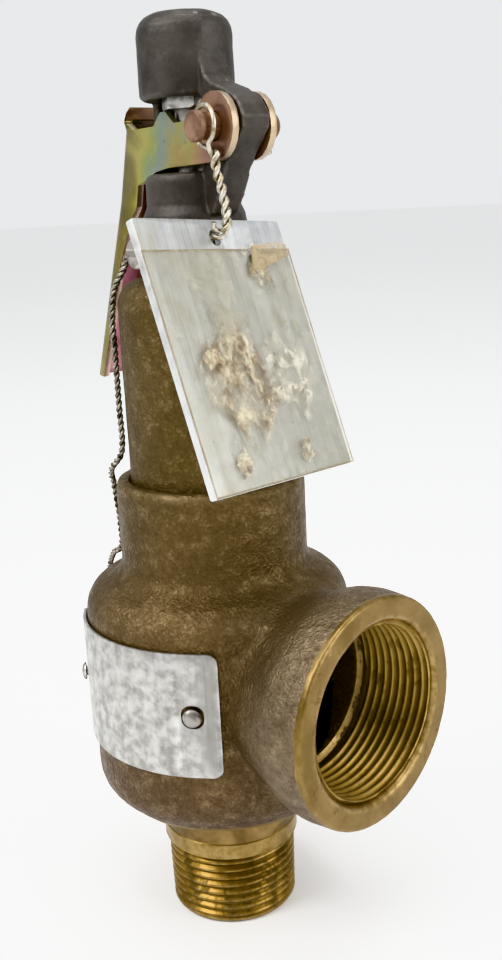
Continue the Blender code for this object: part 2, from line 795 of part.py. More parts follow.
def lever_outline():
    """The lever from the side: ears on the pin, wings with a lifting tooth, and the hanging handle."""
    ear = arc(PIN_X, PIN_Z, EAR_R, -95, 163, 16)
    wing_top = PIN_Z + 2.1 * MM
    tooth_x = -2.0 * MM
    tooth = [
        (tooth_x + 4.4 * MM, wing_top),
        (tooth_x + 2.6 * MM, wing_top + 1.4 * MM),
        (tooth_x + 1.0 * MM, TOOTH_TOP),
        (tooth_x - 1.0 * MM, TOOTH_TOP),
        (tooth_x - 3.0 * MM, wing_top + 1.2 * MM),
        (tooth_x - 4.4 * MM, wing_top),
    ]
    back = back_line()
    rise = [(back[0][0] + 5.0 * MM, wing_top), (back[0][0] + 2.2 * MM, wing_top + 1.6 * MM)]
    crest = [(back[0][0] + 0.9 * MM, back[0][1] - 2.0 * MM)]
    foot = (back[-1][0] + 4.2 * MM, back[-1][1] - 0.6 * MM)
    flange = [
        (back[3][0] + 5.0 * MM, back[3][1]),
        (back[2][0] + 5.6 * MM, back[2][1] - 5.0 * MM),
        (-16.6 * MM, PIN_Z - 15.6 * MM),
        (-15.2 * MM, PIN_Z - 10.6 * MM),
    ]
    wing_low = [(-6.4 * MM, PIN_Z - 8.0 * MM), (-1.0 * MM, PIN_Z - 7.4 * MM), (12.0 * MM, PIN_Z - 7.3 * MM)]
    return ear + tooth + rise + crest + back + [foot] + flange + wing_low


def round_back(obj, line, half, radius):
    """Rounds the two long edges where the lever's back bends into its sides."""
    work = bmesh.new()
    work.from_mesh(obj.data)
    chosen = []
    for edge in work.edges:
        ends = [
            any(abs(v.co.x - x) < 0.00001 and abs(v.co.z - z) < 0.00001 for x, z in line)
            for v in edge.verts
        ]
        same_side = all(abs(abs(v.co.y) - half) < 0.00001 for v in edge.verts)
        along = abs(edge.verts[0].co.y - edge.verts[1].co.y) < 0.00001
        if all(ends) and same_side and along:
            chosen.append(edge)
    bmesh.ops.bevel(work, geom=chosen, offset=radius, segments=3, profile=0.5, affect="EDGES")
    work.to_mesh(obj.data)
    work.free()


def lever_piece(pivot):
    outline = lever_outline()
    back = back_line()
    lever = outline_solid("lever", outline, -LEVER_OUT, LEVER_OUT)
    round_back(lever, back, LEVER_OUT, LEVER_BEND_R)
    is_part(lever, material("lever_zinc", (0.42, 0.36, 0.13), 0.35, 0.9))
    inner_line = [(x + LEVER_T, z) for x, z in back]
    inner_line[0] = (inner_line[0][0], inner_line[0][1] + 3.0 * MM)
    inner_line[-1] = (inner_line[-1][0] - 1.5 * MM, inner_line[-1][1] - 3.0 * MM)
    far = PIN_X + 2 * EAR_R
    hollow_outline = inner_line + [(far, inner_line[-1][1]), (far, inner_line[0][1])]
    hollow = outline_solid("lever_hollow", hollow_outline, -LEVER_IN, LEVER_IN)
    round_back(hollow, inner_line, LEVER_IN, LEVER_BEND_R - LEVER_T)
    cut(lever, hollow)
    holes = cross_rod("lever_pin_hole", PIN_R + GAP, -2 * LEVER_OUT, 2 * LEVER_OUT)
    cut(lever, holes)
    for obj in (lever, hollow, holes):
        in_frame = Vector(obj.location)
        obj.parent = pivot
        obj.location = in_frame - Vector((PIN_X, 0.0, PIN_Z))
    return lever


def pin_pieces(frame):
    """The lever pin with its head at the front, and a washer and split pin behind."""
    head = PIN_R + PIN_HEAD_OVER
    washer_y = LEVER_OUT + GAP
    cotter_y = washer_y + WASHER_T + GAP + COTTER_R
    end = cotter_y + COTTER_R + 1.5 * MM
    profile = [
        (0.0, PIN_FRONT + end),
        (head - 0.4 * MM, PIN_FRONT + end),
        (head, PIN_FRONT + end - 0.4 * MM),
        (head, PIN_FRONT + end - PIN_HEAD_T),
        (PIN_R, PIN_FRONT + end - PIN_HEAD_T),
        (PIN_R, 0.5 * MM),
        (PIN_R - 0.5 * MM, 0.0),
        (0.0, 0.0),
    ]
    pin = is_part(turned("lever_pin", profile), material("pin_bronze", (0.22, 0.13, 0.08), 0.5, 0.8))
    pin.rotation_euler = (math.pi / 2, 0.0, 0.0)
    pin.location = (PIN_X, end, PIN_Z)
    cross = rod("pin_cross_hole", COTTER_R + GAP, 4 * PIN_R, 16)
    cross.location = (PIN_X, cotter_y, PIN_Z - 2 * PIN_R)
    cut(pin, cross)
    ring = [
        (PIN_R + GAP, WASHER_T),
        (PIN_R + WASHER_RIM, WASHER_T),
        (PIN_R + WASHER_RIM, 0.0),
        (PIN_R + GAP, 0.0),
    ]
    washer = is_part(turned("pin_washer", ring, closed=True), steel("pin_washer"))
    washer.rotation_euler = (-math.pi / 2, 0.0, 0.0)
    washer.location = (PIN_X, washer_y, PIN_Z)
    reach = PIN_R + COTTER_REACH
    bends = [
        Vector((PIN_X - 1.0 * MM, cotter_y + 1.2 * MM, PIN_Z - reach)),
        Vector((PIN_X - 0.2 * MM, cotter_y + 0.3 * MM, PIN_Z - reach + 1.6 * MM)),
        Vector((PIN_X, cotter_y, PIN_Z - PIN_R)),
        Vector((PIN_X, cotter_y, PIN_Z + reach)),
    ]
    cotter = is_part(tube("pin_cotter", bends, COTTER_R), steel("pin_cotter"))
    for obj in (pin, cross, washer, cotter):
        obj.parent = frame
    return pin


def plate_middle():
    return BOWL_TOP - SHOULDER_R - PLATE_DROP - PLATE_H / 2


def rivet_angles():
    half = RIVET_SPREAD / BOWL_R / 2
    return [PLATE_AT - half, PLATE_AT + half]


def nameplate_piece():
    """A blank plate wrapped on the bowl, held by two round-head drive rivets."""
    radius = BOWL_R + GAP
    spread = PLATE_W / radius
    middle = plate_middle()
    mesh = bpy.data.meshes.new("nameplate")
    mesh.from_pydata([(radius, 0.0, middle + PLATE_H / 2), (radius, 0.0, middle - PLATE_H / 2)], [(0, 1)], [])
    plate = bpy.data.objects.new("nameplate", mesh)
    screw = plate.modifiers.new("wrap", "SCREW")
    screw.angle = spread
    screw.steps = 30
    screw.render_steps = 30
    screw.use_merge_vertices = True
    screw.merge_threshold = 0.00001
    screw.use_smooth_shade = True
    shell = plate.modifiers.new("thickness", "SOLIDIFY")
    shell.thickness = PLATE_T
    shell.offset = 1.0
    plate.rotation_euler = (0.0, 0.0, PLATE_AT - spread / 2)
    is_part(plate, material("nameplate_aluminium", (0.55, 0.54, 0.52), 0.45, 0.9))
    for index, angle in enumerate(rivet_angles()):
        hole = rod("plate_rivet_hole_%d" % index, RIVET_R * 0.6 + GAP, 6.0 * MM, 16)
        cut(plate, point_out(hole, angle, BOWL_R - RIVET_DEPTH, middle))
    return plate


def rivet_pieces():
    """The two drive rivets, each driven into the bowl through the plate."""
    shank = RIVET_R * 0.6
    face = RIVET_DEPTH + GAP + PLATE_T + GAP
    profile = [(0.0, face + RIVET_CROWN)]
    profile += [
        (RIVET_R * math.sin(a), face + RIVET_CROWN * math.cos(a)) for a in (0.4, 0.8, 1.2, math.pi / 2)
    ]
    profile += [(shank, face), (shank, 0.0), (0.0, 0.0)]
    for side, angle in zip(("left", "right"), rivet_angles()):
        rivet = is_part(turned("rivet_" + side, profile), steel("rivet"))
        rivet.modifiers["turn"].steps = 20
        rivet.modifiers["turn"].render_steps = 20
        point_out(rivet, angle, BOWL_R - RIVET_DEPTH, plate_middle())


def on_pivot(obj, pivot):
    """Hangs a piece that is placed in the valve's frame on an unturned pivot."""
    placed = Vector(obj.location)
    obj.parent = pivot
    obj.location = placed - Vector(pivot.location)
    return obj


def tag_pieces(pivot):
    """The plate that hangs from the pin, and the clear film stuck over its face."""
    place = Matrix.Translation(TAG_HOLE_AT) @ Euler(TAG_TURN, "YXZ").to_matrix().to_4x4()
    low = TAG_HOLE_DROP - TAG_H
    film_w = TAG_W + 2 * FILM_OVER
    made = []
    for name, width, low, high, thick, ahead, finish in (
        ("tag_plate", TAG_W, low, TAG_HOLE_DROP, TAG_T, 0.0, (0.6, 0.6, 0.58)),
        ("tag_film", film_w, low + 0.1 * MM, FILM_TOP, FILM_T, FILM_T + GAP, (0.7, 0.68, 0.55)),
    ):
        bpy.ops.mesh.primitive_cube_add(size=1.0)
        plate = bpy.context.object
        plate.name = name
        plate.location = (0.0, 0.0, 0.0)
        plate.data.transform(Matrix.Diagonal((width, thick, high - low, 1.0)))
        plate.data.transform(Matrix.Translation((0.0, thick / 2 - ahead, (low + high) / 2)))
        for collection in list(plate.users_collection):
            collection.objects.unlink(plate)
        is_part(plate, material(name + "_finish", finish, 0.35, 0.6))
        made.append(plate)
    bpy.ops.object.select_all(action="DESELECT")
    hole = rod("tag_hole", TAG_HOLE_R, 12.0 * MM, 20)
    hole.rotation_euler = (math.pi / 2, 0.0, 0.0)
    hole.location = (0.0, 6.0 * MM, 0.0)
    cut(made[0], hole)
    tag_frame = empty("tag_frame", parent=pivot)
    tag_frame.matrix_local = Matrix.Translation(-Vector(pivot.location)) @ place
    for obj in (*made, hole):
        obj.parent = tag_frame
    return made


def tag_wire_piece(pivot):
    """The twisted wire: hooked over the pin, down in front of the plate and through its hole."""
    turn = Matrix.Rotation(CAP_TURN, 3, "Z")
    reach = PIN_R + GAP + TAG_WIRE_R + 0.25 * MM
    hook = []
    for step in range(8):
        angle = math.radians(215 - 250 * step / 7)
        at = Vector((PIN_X + reach * math.cos(angle), TAG_WIRE_PLANE, PIN_Z + reach * math.sin(angle)))
        hook.append(turn @ at)
    through = Euler(TAG_TURN, "YXZ").to_matrix() @ Vector((0.0, 1.0, 0.0))
    middle = turn @ Vector((PIN_X, 0.0, PIN_Z))
    hang = [
        middle + Vector((0.7, -7.6, -5.5)) * MM,
        middle + Vector((0.7, -7.1, -9.0)) * MM,
        middle + Vector((1.5, -6.6, -13.1)) * MM,
        TAG_HOLE_AT + Vector((2.5, 1.2, 5.7)) * MM,
        TAG_HOLE_AT + Vector((3.1, 0.6, 2.7)) * MM,
        TAG_HOLE_AT - through * 1.6 * MM,
        TAG_HOLE_AT + through * 2.0 * MM,
        TAG_HOLE_AT + through * 4.0 * MM,
    ]
    wire = is_part(tube("tag_wire", smooth_path(hook + hang, 3), TAG_WIRE_R), steel("tag_wire"))
    return on_pivot(wire, pivot)


def seal_route():
    """Where the sealing wire runs: from the cap screw, down the back of the valve, to the ring screw."""
    degrees = math.radians
    head = CAP_SCREW_FACE + GAP + CAP_SCREW_HEAD_T / 2
    tangent = Vector((-math.sin(CAP_SCREW_AT), math.cos(CAP_SCREW_AT), 0.0))
    start = around(CAP_SCREW_AT, head, CAP_SCREW_Z)
    on_bonnet = BONNET_R + SEAL_WIRE_R + 0.6 * MM
    on_neck = NECK_R + SEAL_WIRE_R + 0.6 * MM
    on_bowl = BOWL_R + SEAL_WIRE_R + 0.9 * MM
    shoulder = BOWL_TOP - SHOULDER_R
    head_r = SCREW_BOSS_END + GAP + RING_SCREW_HEAD_T / 2
    return [
        start + tangent * 6.0 * MM,
        start,
        start - tangent * 5.0 * MM,
        around(degrees(-122.0), 17.6 * MM, BONNET_TOP + 2.2 * MM),
        around(degrees(-128.0), on_bonnet - 1.0 * MM, BONNET_TOP - 2.4 * MM),
        around(degrees(-130.0), on_bonnet, BONNET_TOP - 9.0 * MM),
        around(degrees(-131.0), on_bonnet, NECK_TOP + 32.0 * MM),
        around(degrees(-129.0), on_bonnet, NECK_TOP + 18.0 * MM),
        around(degrees(-131.0), on_bonnet + 0.2 * MM, NECK_TOP + 7.0 * MM),
        around(degrees(-138.0), on_neck - 0.3 * MM, NECK_TOP + 1.8 * MM),
        around(degrees(-146.0), on_neck + 0.3 * MM, NECK_TOP - 3.0 * MM),
        around(degrees(-149.0), on_neck, NECK_TOP - 12.0 * MM),
        around(degrees(-153.0), on_neck + 0.9 * MM, BOWL_TOP + 4.2 * MM),
        around(degrees(-160.0), BOWL_R - 3.0 * MM, BOWL_TOP + 0.7 * MM),
        around(degrees(-168.0), on_bowl, shoulder + 1.5 * MM),
        around(degrees(-176.0), on_bowl + 0.6 * MM, shoulder - 10.0 * MM),
        around(degrees(178.0), head_r - 0.6 * MM, RING_SCREW_Z + 18.0 * MM),
        around(RING_SCREW_AT, head_r, RING_SCREW_Z + 6.0 * MM),
        around(RING_SCREW_AT, head_r, RING_SCREW_Z - 5.0 * MM),
    ]


def seal_pieces():
    route = smooth_path(seal_route(), 4)
    wire = is_part(tube("seal_wire", route, SEAL_WIRE_R), steel("seal_wire"))
    centre = seal_route()[16]
    disc = [
        (0.0, SEAL_T / 2),
        (SEAL_R - 1.0 * MM, SEAL_T / 2),
        (SEAL_R, SEAL_T / 4),
        (SEAL_R, -SEAL_T / 4),
        (SEAL_R - 1.0 * MM, -SEAL_T / 2),
        (0.0, -SEAL_T / 2),
    ]
    seal = is_part(turned("lead_seal", disc), material("seal_lead", (0.25, 0.25, 0.26), 0.6, 0.7))
    seal.modifiers["turn"].steps = 28
    seal.modifiers["turn"].render_steps = 28
    seal.rotation_euler = (0.0, math.pi / 2, math.radians(178.0))
    seal.location = centre
    track = [point for point in route if abs(point.z - centre.z) < 9.0 * MM]
    is_cutter(tube("seal_track", track, SEAL_WIRE_R + GAP))
    channel = bpy.data.objects.new("seal_channel", real_mesh(CUTTERS.objects["seal_track"], "seal_channel"))
    bpy.data.objects.remove(CUTTERS.objects["seal_track"])
    cut(seal, channel)
    return wire


def main():
    global PARTS, CUTTERS
    clear_scene()
    PARTS = add_collection("pressure_relief_valve")
    CUTTERS = add_collection("cutters")
    cap_frame = empty("cap_frame", turn=CAP_TURN)
    lever_pivot = empty("lever_pivot", (PIN_X, 0.0, PIN_Z), parent=cap_frame)
    pin_centre = Matrix.Rotation(CAP_TURN, 3, "Z") @ Vector((PIN_X, 0.0, PIN_Z))
    tag_pivot = empty("tag_pivot", pin_centre)
    stem_slide = empty("stem_slide")

    nozzle_piece()
    body_piece()
    bonnet_piece()
    guide_piece()
    ring_piece()
    tangent = Matrix.Rotation(CAP_SCREW_AT + math.pi / 2, 3, "Z") @ Matrix.Rotation(math.pi / 2, 3, "Y")
    drilled_screw(
        "ring_screw",
        RING_SCREW_SHANK_R,
        1.1 * MM,
        RING_OUT - NOTCH_DEPTH + GAP,
        SCREW_BOSS_END,
        RING_SCREW_HEAD_R,
        RING_SCREW_HEAD_T,
        RING_SCREW_AT,
        RING_SCREW_Z,
        Matrix.Identity(3),
    )
    drilled_screw(
        "cap_screw",
        CAP_SCREW_SHANK_R,
        CAP_SCREW_SHANK_R - 0.5 * MM,
        SKIRT_R - SKIRT_WALL - 0.6 * MM,
        CAP_SCREW_FACE,
        CAP_SCREW_HEAD_R,
        CAP_SCREW_HEAD_T,
        CAP_SCREW_AT,
        CAP_SCREW_Z,
        tangent,
    )
    for piece in (
        disc_piece(),
        holder_piece(),
        stem_piece(),
        step_piece("lower_spring_step", LOW_STEP_Z, True),
        spring_piece(),
        hex_nut("lifting_nut", NUT_Z, NUT_R, NUT_T, STEM_R + GAP, steel("lifting_nut")),
        hex_nut("lifting_lock_nut", NUT_Z + NUT_T + GAP, NUT_R, NUT_T - MM, STEM_R + GAP, steel("lock_nut")),
    ):
        piece.parent = stem_slide
    step_piece("upper_spring_step", HIGH_STEP_Z, False)
    compression_screw_piece()
    hex_nut("jam_nut", CAP_Z, JAM_NUT_R, JAM_NUT_T, SCREW_R + GAP, brass("jam_nut"))
    cap_piece(cap_frame)
    lever_piece(lever_pivot)
    pin_pieces(cap_frame)
    nameplate_piece()
    rivet_pieces()
    tag_pieces(tag_pivot)
    tag_wire_piece(tag_pivot)
    seal_pieces()


main()
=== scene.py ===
"""Looks of a bronze safety relief valve with a lifting lever, a wire seal and a hanging plate.

The valve axis is Z with the inlet face on the floor, and the outlet points along +X.  The cap, the lever
and its pin are turned CAP_TURN about Z.  Each class holds one sub-assembly: it models the pieces that stand
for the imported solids, dresses them in their finishes and hangs them on the body that they move with.
"""

import logging
import math
from contextlib import contextmanager
from dataclasses import dataclass
from enum import Enum
from typing import Any, Callable, Iterator, Optional, Sequence

import bmesh
import bpy
from mathutils import Euler, Matrix, Vector, noise


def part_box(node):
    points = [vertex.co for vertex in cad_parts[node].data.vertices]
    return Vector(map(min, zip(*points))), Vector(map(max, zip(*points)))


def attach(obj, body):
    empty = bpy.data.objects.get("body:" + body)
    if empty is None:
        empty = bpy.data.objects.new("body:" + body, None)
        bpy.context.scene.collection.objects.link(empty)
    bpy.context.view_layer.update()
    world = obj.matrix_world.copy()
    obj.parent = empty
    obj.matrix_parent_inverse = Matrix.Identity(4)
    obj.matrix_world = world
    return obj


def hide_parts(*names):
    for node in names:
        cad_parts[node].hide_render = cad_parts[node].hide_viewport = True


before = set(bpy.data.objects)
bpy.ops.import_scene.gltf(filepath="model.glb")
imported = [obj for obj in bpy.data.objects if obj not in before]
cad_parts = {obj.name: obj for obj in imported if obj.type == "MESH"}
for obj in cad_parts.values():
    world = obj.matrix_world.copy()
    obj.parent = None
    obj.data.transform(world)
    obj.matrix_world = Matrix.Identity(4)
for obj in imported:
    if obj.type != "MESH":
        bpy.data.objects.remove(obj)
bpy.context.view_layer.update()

LOG = logging.getLogger("relief_valve")

MM = 0.001
SEGMENTS = 128
PIPE_PITCH = 2.209 * MM
OUTLET_HEIGHT = 66.6 * MM
CAP_TURN = math.radians(-10.0)
CAP_PLACE = Matrix.Rotation(CAP_TURN, 4, "Z")

Colour = tuple[float, float, float]
Point = tuple[float, float]
Socket = bpy.types.NodeSocket
Piece = bpy.types.Object


class Slot(Enum):
    """The names of the material slots that the pieces are listed under."""

    CAST = "cast_bronze"
    BRASS = "brass"
    STEEL = "steel"
    IRON = "cap_iron"
    ZINC = "yellow_zinc"
    PIN = "pin_bronze"
    ALUMINIUM = "aluminium"
    FILM = "clear_film"
    WIRE = "wire"
    LEAD = "lead"


class Turning(Enum):
    """The axis that a machined surface was turned about."""

    VALVE = "valve"
    OUTLET = "outlet"


# ---------------------------------------------------------------- modelling


def only(obj: Piece) -> None:
    """Leaves edit mode and makes this the one selected object."""
    if bpy.context.object and bpy.context.object.mode != "OBJECT":
        bpy.ops.object.mode_set(mode="OBJECT")
    bpy.ops.object.select_all(action="DESELECT")
    obj.select_set(True)
    bpy.context.view_layer.objects.active = obj


@contextmanager
def editing(obj: Piece, mode: str = "VERT") -> Iterator[None]:
    """Opens the piece in edit mode with nothing selected.

    Args:
        obj: The piece to edit.
        mode: VERT, EDGE or FACE.
    """
    only(obj)
    bpy.ops.object.mode_set(mode="EDIT")
    bpy.ops.mesh.select_mode(type=mode)
    bpy.ops.mesh.select_all(action="DESELECT")
    yield
    bpy.ops.object.mode_set(mode="OBJECT")


def pick(obj: Piece, kind: str, test: Callable[[Any], bool]) -> None:
    """Selects the verts, edges or faces of a piece in edit mode that pass a test, and no others."""
    work = bmesh.from_edit_mesh(obj.data)
    for item in getattr(work, kind):
        item.select_set(bool(test(item)))
    work.select_flush_mode()
    bmesh.update_edit_mesh(obj.data)


def runs_through(edge: Any, least: float) -> bool:
    """Whether an edge of a flat sheet goes from one face to the other, along Y."""
    return abs(edge.verts[0].co.y - edge.verts[1].co.y) > least


def primitive(kind: str, name: str, **settings: Any) -> Piece:
    """Adds one of Blender's mesh primitives under a piece's name, as the one selected object."""
    bpy.ops.object.select_all(action="DESELECT")
    getattr(bpy.ops.mesh, f"primitive_{kind}_add")(**settings)
    made = bpy.context.object
    made.name = name
    made.data.name = name
    return made


def set_down(obj: Piece, place: Optional[Matrix] = None) -> Piece:
    """Moves a piece by a matrix, then puts its whole place into its mesh."""
    bpy.context.view_layer.update()
    if place is not None:
        obj.matrix_world = place @ obj.matrix_world
    only(obj)
    bpy.ops.object.transform_apply(location=True, rotation=True, scale=True)
    return obj


def modify(obj: Piece, kind: str, **settings: Any) -> Piece:
    """Adds a modifier, sets it and applies it.

    Args:
        obj: The piece.
        kind: The modifier's type.
        **settings: The modifier's own settings.

    Returns:
        The same piece.
    """
    only(obj)
    bpy.ops.object.modifier_add(type=kind)
    modifier = obj.modifiers[-1]
    for key, value in settings.items():
        setattr(modifier, key, value)
    bpy.ops.object.modifier_apply(modifier=modifier.name)
    return obj


def carve(obj: Piece, tool: Piece, operation: str = "DIFFERENCE") -> Piece:
    """Cuts, joins or trims a piece with a tool, and throws the tool away."""
    modify(obj, "BOOLEAN", operation=operation, solver="EXACT", object=tool)
    bpy.data.objects.remove(tool)
    return obj


def smooth(obj: Piece, angle: float = 34.0) -> Piece:
    """Shades a piece smooth, and sharp where its faces meet at more than an angle in degrees."""
    only(obj)
    bpy.ops.object.shade_smooth_by_angle(angle=math.radians(angle))
    return obj


def break_edges(obj: Piece, width: float, segments: int = 2, angle: float = 34.0) -> Piece:
    """Bevels every edge sharper than an angle in degrees, and shades the piece smooth."""
    modify(
        obj, "BEVEL", width=width, segments=segments, limit_method="ANGLE",
        angle_limit=math.radians(angle), use_clamp_overlap=True,
    )
    return smooth(obj, angle)


def face_out(obj: Piece, weld: float = 0.002 * MM) -> Piece:
    """Merges what meets and turns every face outwards."""
    with editing(obj):
        bpy.ops.mesh.select_all(action="SELECT")
        bpy.ops.mesh.remove_doubles(threshold=weld)
        bpy.ops.mesh.normals_make_consistent(inside=False)
    return obj


def turned(name: str, profile: Sequence[Point], segments: int = SEGMENTS, ring: bool = False) -> Piece:
    """A turned piece, grown ring by ring from a circle.

    Args:
        name: The piece's name.
        profile: Radius and height of each ring, in order round the section.
        segments: The number of sides.
        ring: Whether the section is a closed loop round an open bore.

    Returns:
        A closed piece about Z.
    """
    rings = list(profile) + ([profile[0]] if ring else [])
    radius, height = rings[0]
    obj = primitive("circle", name, vertices=segments, radius=radius, location=(0, 0, height))
    with editing(obj, "EDGE"):
        bpy.ops.mesh.select_all(action="SELECT")
        for next_radius, next_height in rings[1:]:
            bpy.ops.mesh.extrude_edges_move(
                TRANSFORM_OT_translate={"value": (0.0, 0.0, next_height - height)}
            )
            share = next_radius / radius
            bpy.ops.transform.resize(value=(share, share, 1.0), center_override=(0.0, 0.0, next_height))
            radius, height = next_radius, next_height
        bpy.ops.mesh.select_all(action="SELECT")
        if ring:
            bpy.ops.mesh.remove_doubles(threshold=0.002 * MM)
        else:
            bpy.ops.mesh.fill_holes(sides=0)
        bpy.ops.mesh.normals_make_consistent(inside=False)
    return set_down(obj)


def arc(centre: Point, radius: float, start: float, end: float, count: int) -> list[Point]:
    """Points on a circle from one angle to another, in degrees."""
    steps = [math.radians(start + (end - start) * i / (count - 1)) for i in range(count)]
    return [(centre[0] + radius * math.cos(a), centre[1] + radius * math.sin(a)) for a in steps]


def around(degrees: float, radius: float, height: float) -> Vector:
    """A point at an angle about the valve axis."""
    angle = math.radians(degrees)
    return Vector((radius * math.cos(angle), radius * math.sin(angle), height))


def pointing(degrees: float, height: float) -> Matrix:
    """The place of a piece whose own Z points outwards from the valve axis at an angle and height."""
    turn = Matrix.Rotation(math.radians(degrees), 4, "Z") @ Matrix.Rotation(math.pi / 2, 4, "Y")
    return Matrix.Translation((0.0, 0.0, height)) @ turn


def copy_of(node: str, name: str) -> Piece:
    """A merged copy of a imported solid, to be worked up into the piece that stands for it."""
    obj = bpy.data.objects.new(name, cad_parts[node].data.copy())
    obj.data.name = name
    bpy.context.scene.collection.objects.link(obj)
    obj.data.materials.clear()
    with editing(obj):
        bpy.ops.mesh.select_all(action="SELECT")
        bpy.ops.mesh.customdata_custom_splitnormals_clear()
        bpy.ops.mesh.remove_doubles(threshold=0.002 * MM)
        bpy.ops.mesh.dissolve_limited(angle_limit=math.radians(0.2))
    return obj


def roughen(obj: Piece, size: float, depth: float, weights: Optional[str] = None) -> Piece:
    """Gives a casting its gently uneven skin.

    Args:
        obj: The casting.
        size: How far apart the lows and highs are.
        depth: The height from the lowest to the highest.
        weights: The vertex group that says where, or None for everywhere.

    Returns:
        The same piece.
    """
    lumps = bpy.data.textures.new(f"{obj.name}_lumps", "CLOUDS")
    lumps.noise_scale = size
    lumps.noise_depth = 2
    return modify(
        obj, "DISPLACE", texture=lumps, texture_coords="LOCAL", strength=depth, mid_level=0.5,
        vertex_group=weights or "",
    )


def hold_inside(obj: Piece, node: str) -> Piece:
    """Keeps every point of a piece within the box of the solid that it stands for."""
    low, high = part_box(node)
    for vertex in obj.data.vertices:
        vertex.co = [min(max(value, least), most) for value, least, most in zip(vertex.co, low, high)]
    return obj


def weigh(obj: Piece, name: str, weight: Callable[[Vector], float]) -> str:
    """Makes a vertex group whose weights come from each point's place, and returns its name."""
    group = obj.vertex_groups.new(name=name)
    for vertex in obj.data.vertices:
        amount = weight(vertex.co)
        if amount > 0.0:
            group.add([vertex.index], min(1.0, amount), "REPLACE")
    return name


def keep_flat_places(obj: Piece) -> None:
    """Stores where each point lies before the piece is bent or hung, for patterns that follow it."""
    layer = obj.data.attributes.new("flat_place", "FLOAT_VECTOR", "POINT")
    for index, vertex in enumerate(obj.data.vertices):
        layer.data[index].vector = vertex.co


def smooth_path(points: Sequence[Vector], per_span: int) -> list[Vector]:
    """Points along a smooth curve through the given ones."""
    padded = [points[0], *points, points[-1]]
    route = []
    for i in range(1, len(padded) - 2):
        before, start, end, after = padded[i - 1 : i + 3]
        for j in range(per_span):
            t = j / per_span
            bend = (2 * before - 5 * start + 4 * end - after) * t * t
            swing = (3 * start - before - 3 * end + after) * t * t * t
            route.append(0.5 * (2 * start + (end - before) * t + bend + swing))
    return route + [points[-1]]


def wires(name: str, runs: Sequence[Sequence[Vector]], radius: float, sides: int = 3) -> Piece:
    """Round wire along each run of points, as one closed mesh piece."""
    curve = bpy.data.curves.new(name, "CURVE")
    curve.dimensions = "3D"
    curve.bevel_depth = radius
    curve.bevel_resolution = sides
    curve.use_fill_caps = True
    for run in runs:
        spline = curve.splines.new("POLY")
        spline.points.add(len(run) - 1)
        for point, place in zip(spline.points, run):
            point.co = (*place, 1.0)
    obj = bpy.data.objects.new(name, curve)
    bpy.context.scene.collection.objects.link(obj)
    only(obj)
    bpy.ops.object.convert(target="MESH")
    return smooth(face_out(bpy.context.object), 50.0)


def settle(piece: Piece, body: str, finish: "Finish", slot: Slot, *nodes: str) -> Piece:
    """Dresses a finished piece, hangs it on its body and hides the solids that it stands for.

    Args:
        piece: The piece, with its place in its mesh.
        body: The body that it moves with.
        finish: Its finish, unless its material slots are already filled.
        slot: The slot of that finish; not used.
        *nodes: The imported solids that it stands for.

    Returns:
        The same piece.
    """
    if not piece.data.materials:
        piece.data.materials.append(finish.material())
    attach(piece, body)
    if nodes:
        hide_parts(*nodes)
    LOG.info("%s: %d faces, on %s", piece.name, len(piece.data.polygons), body)
    return piece


# ---------------------------------------------------------------- shader graphs


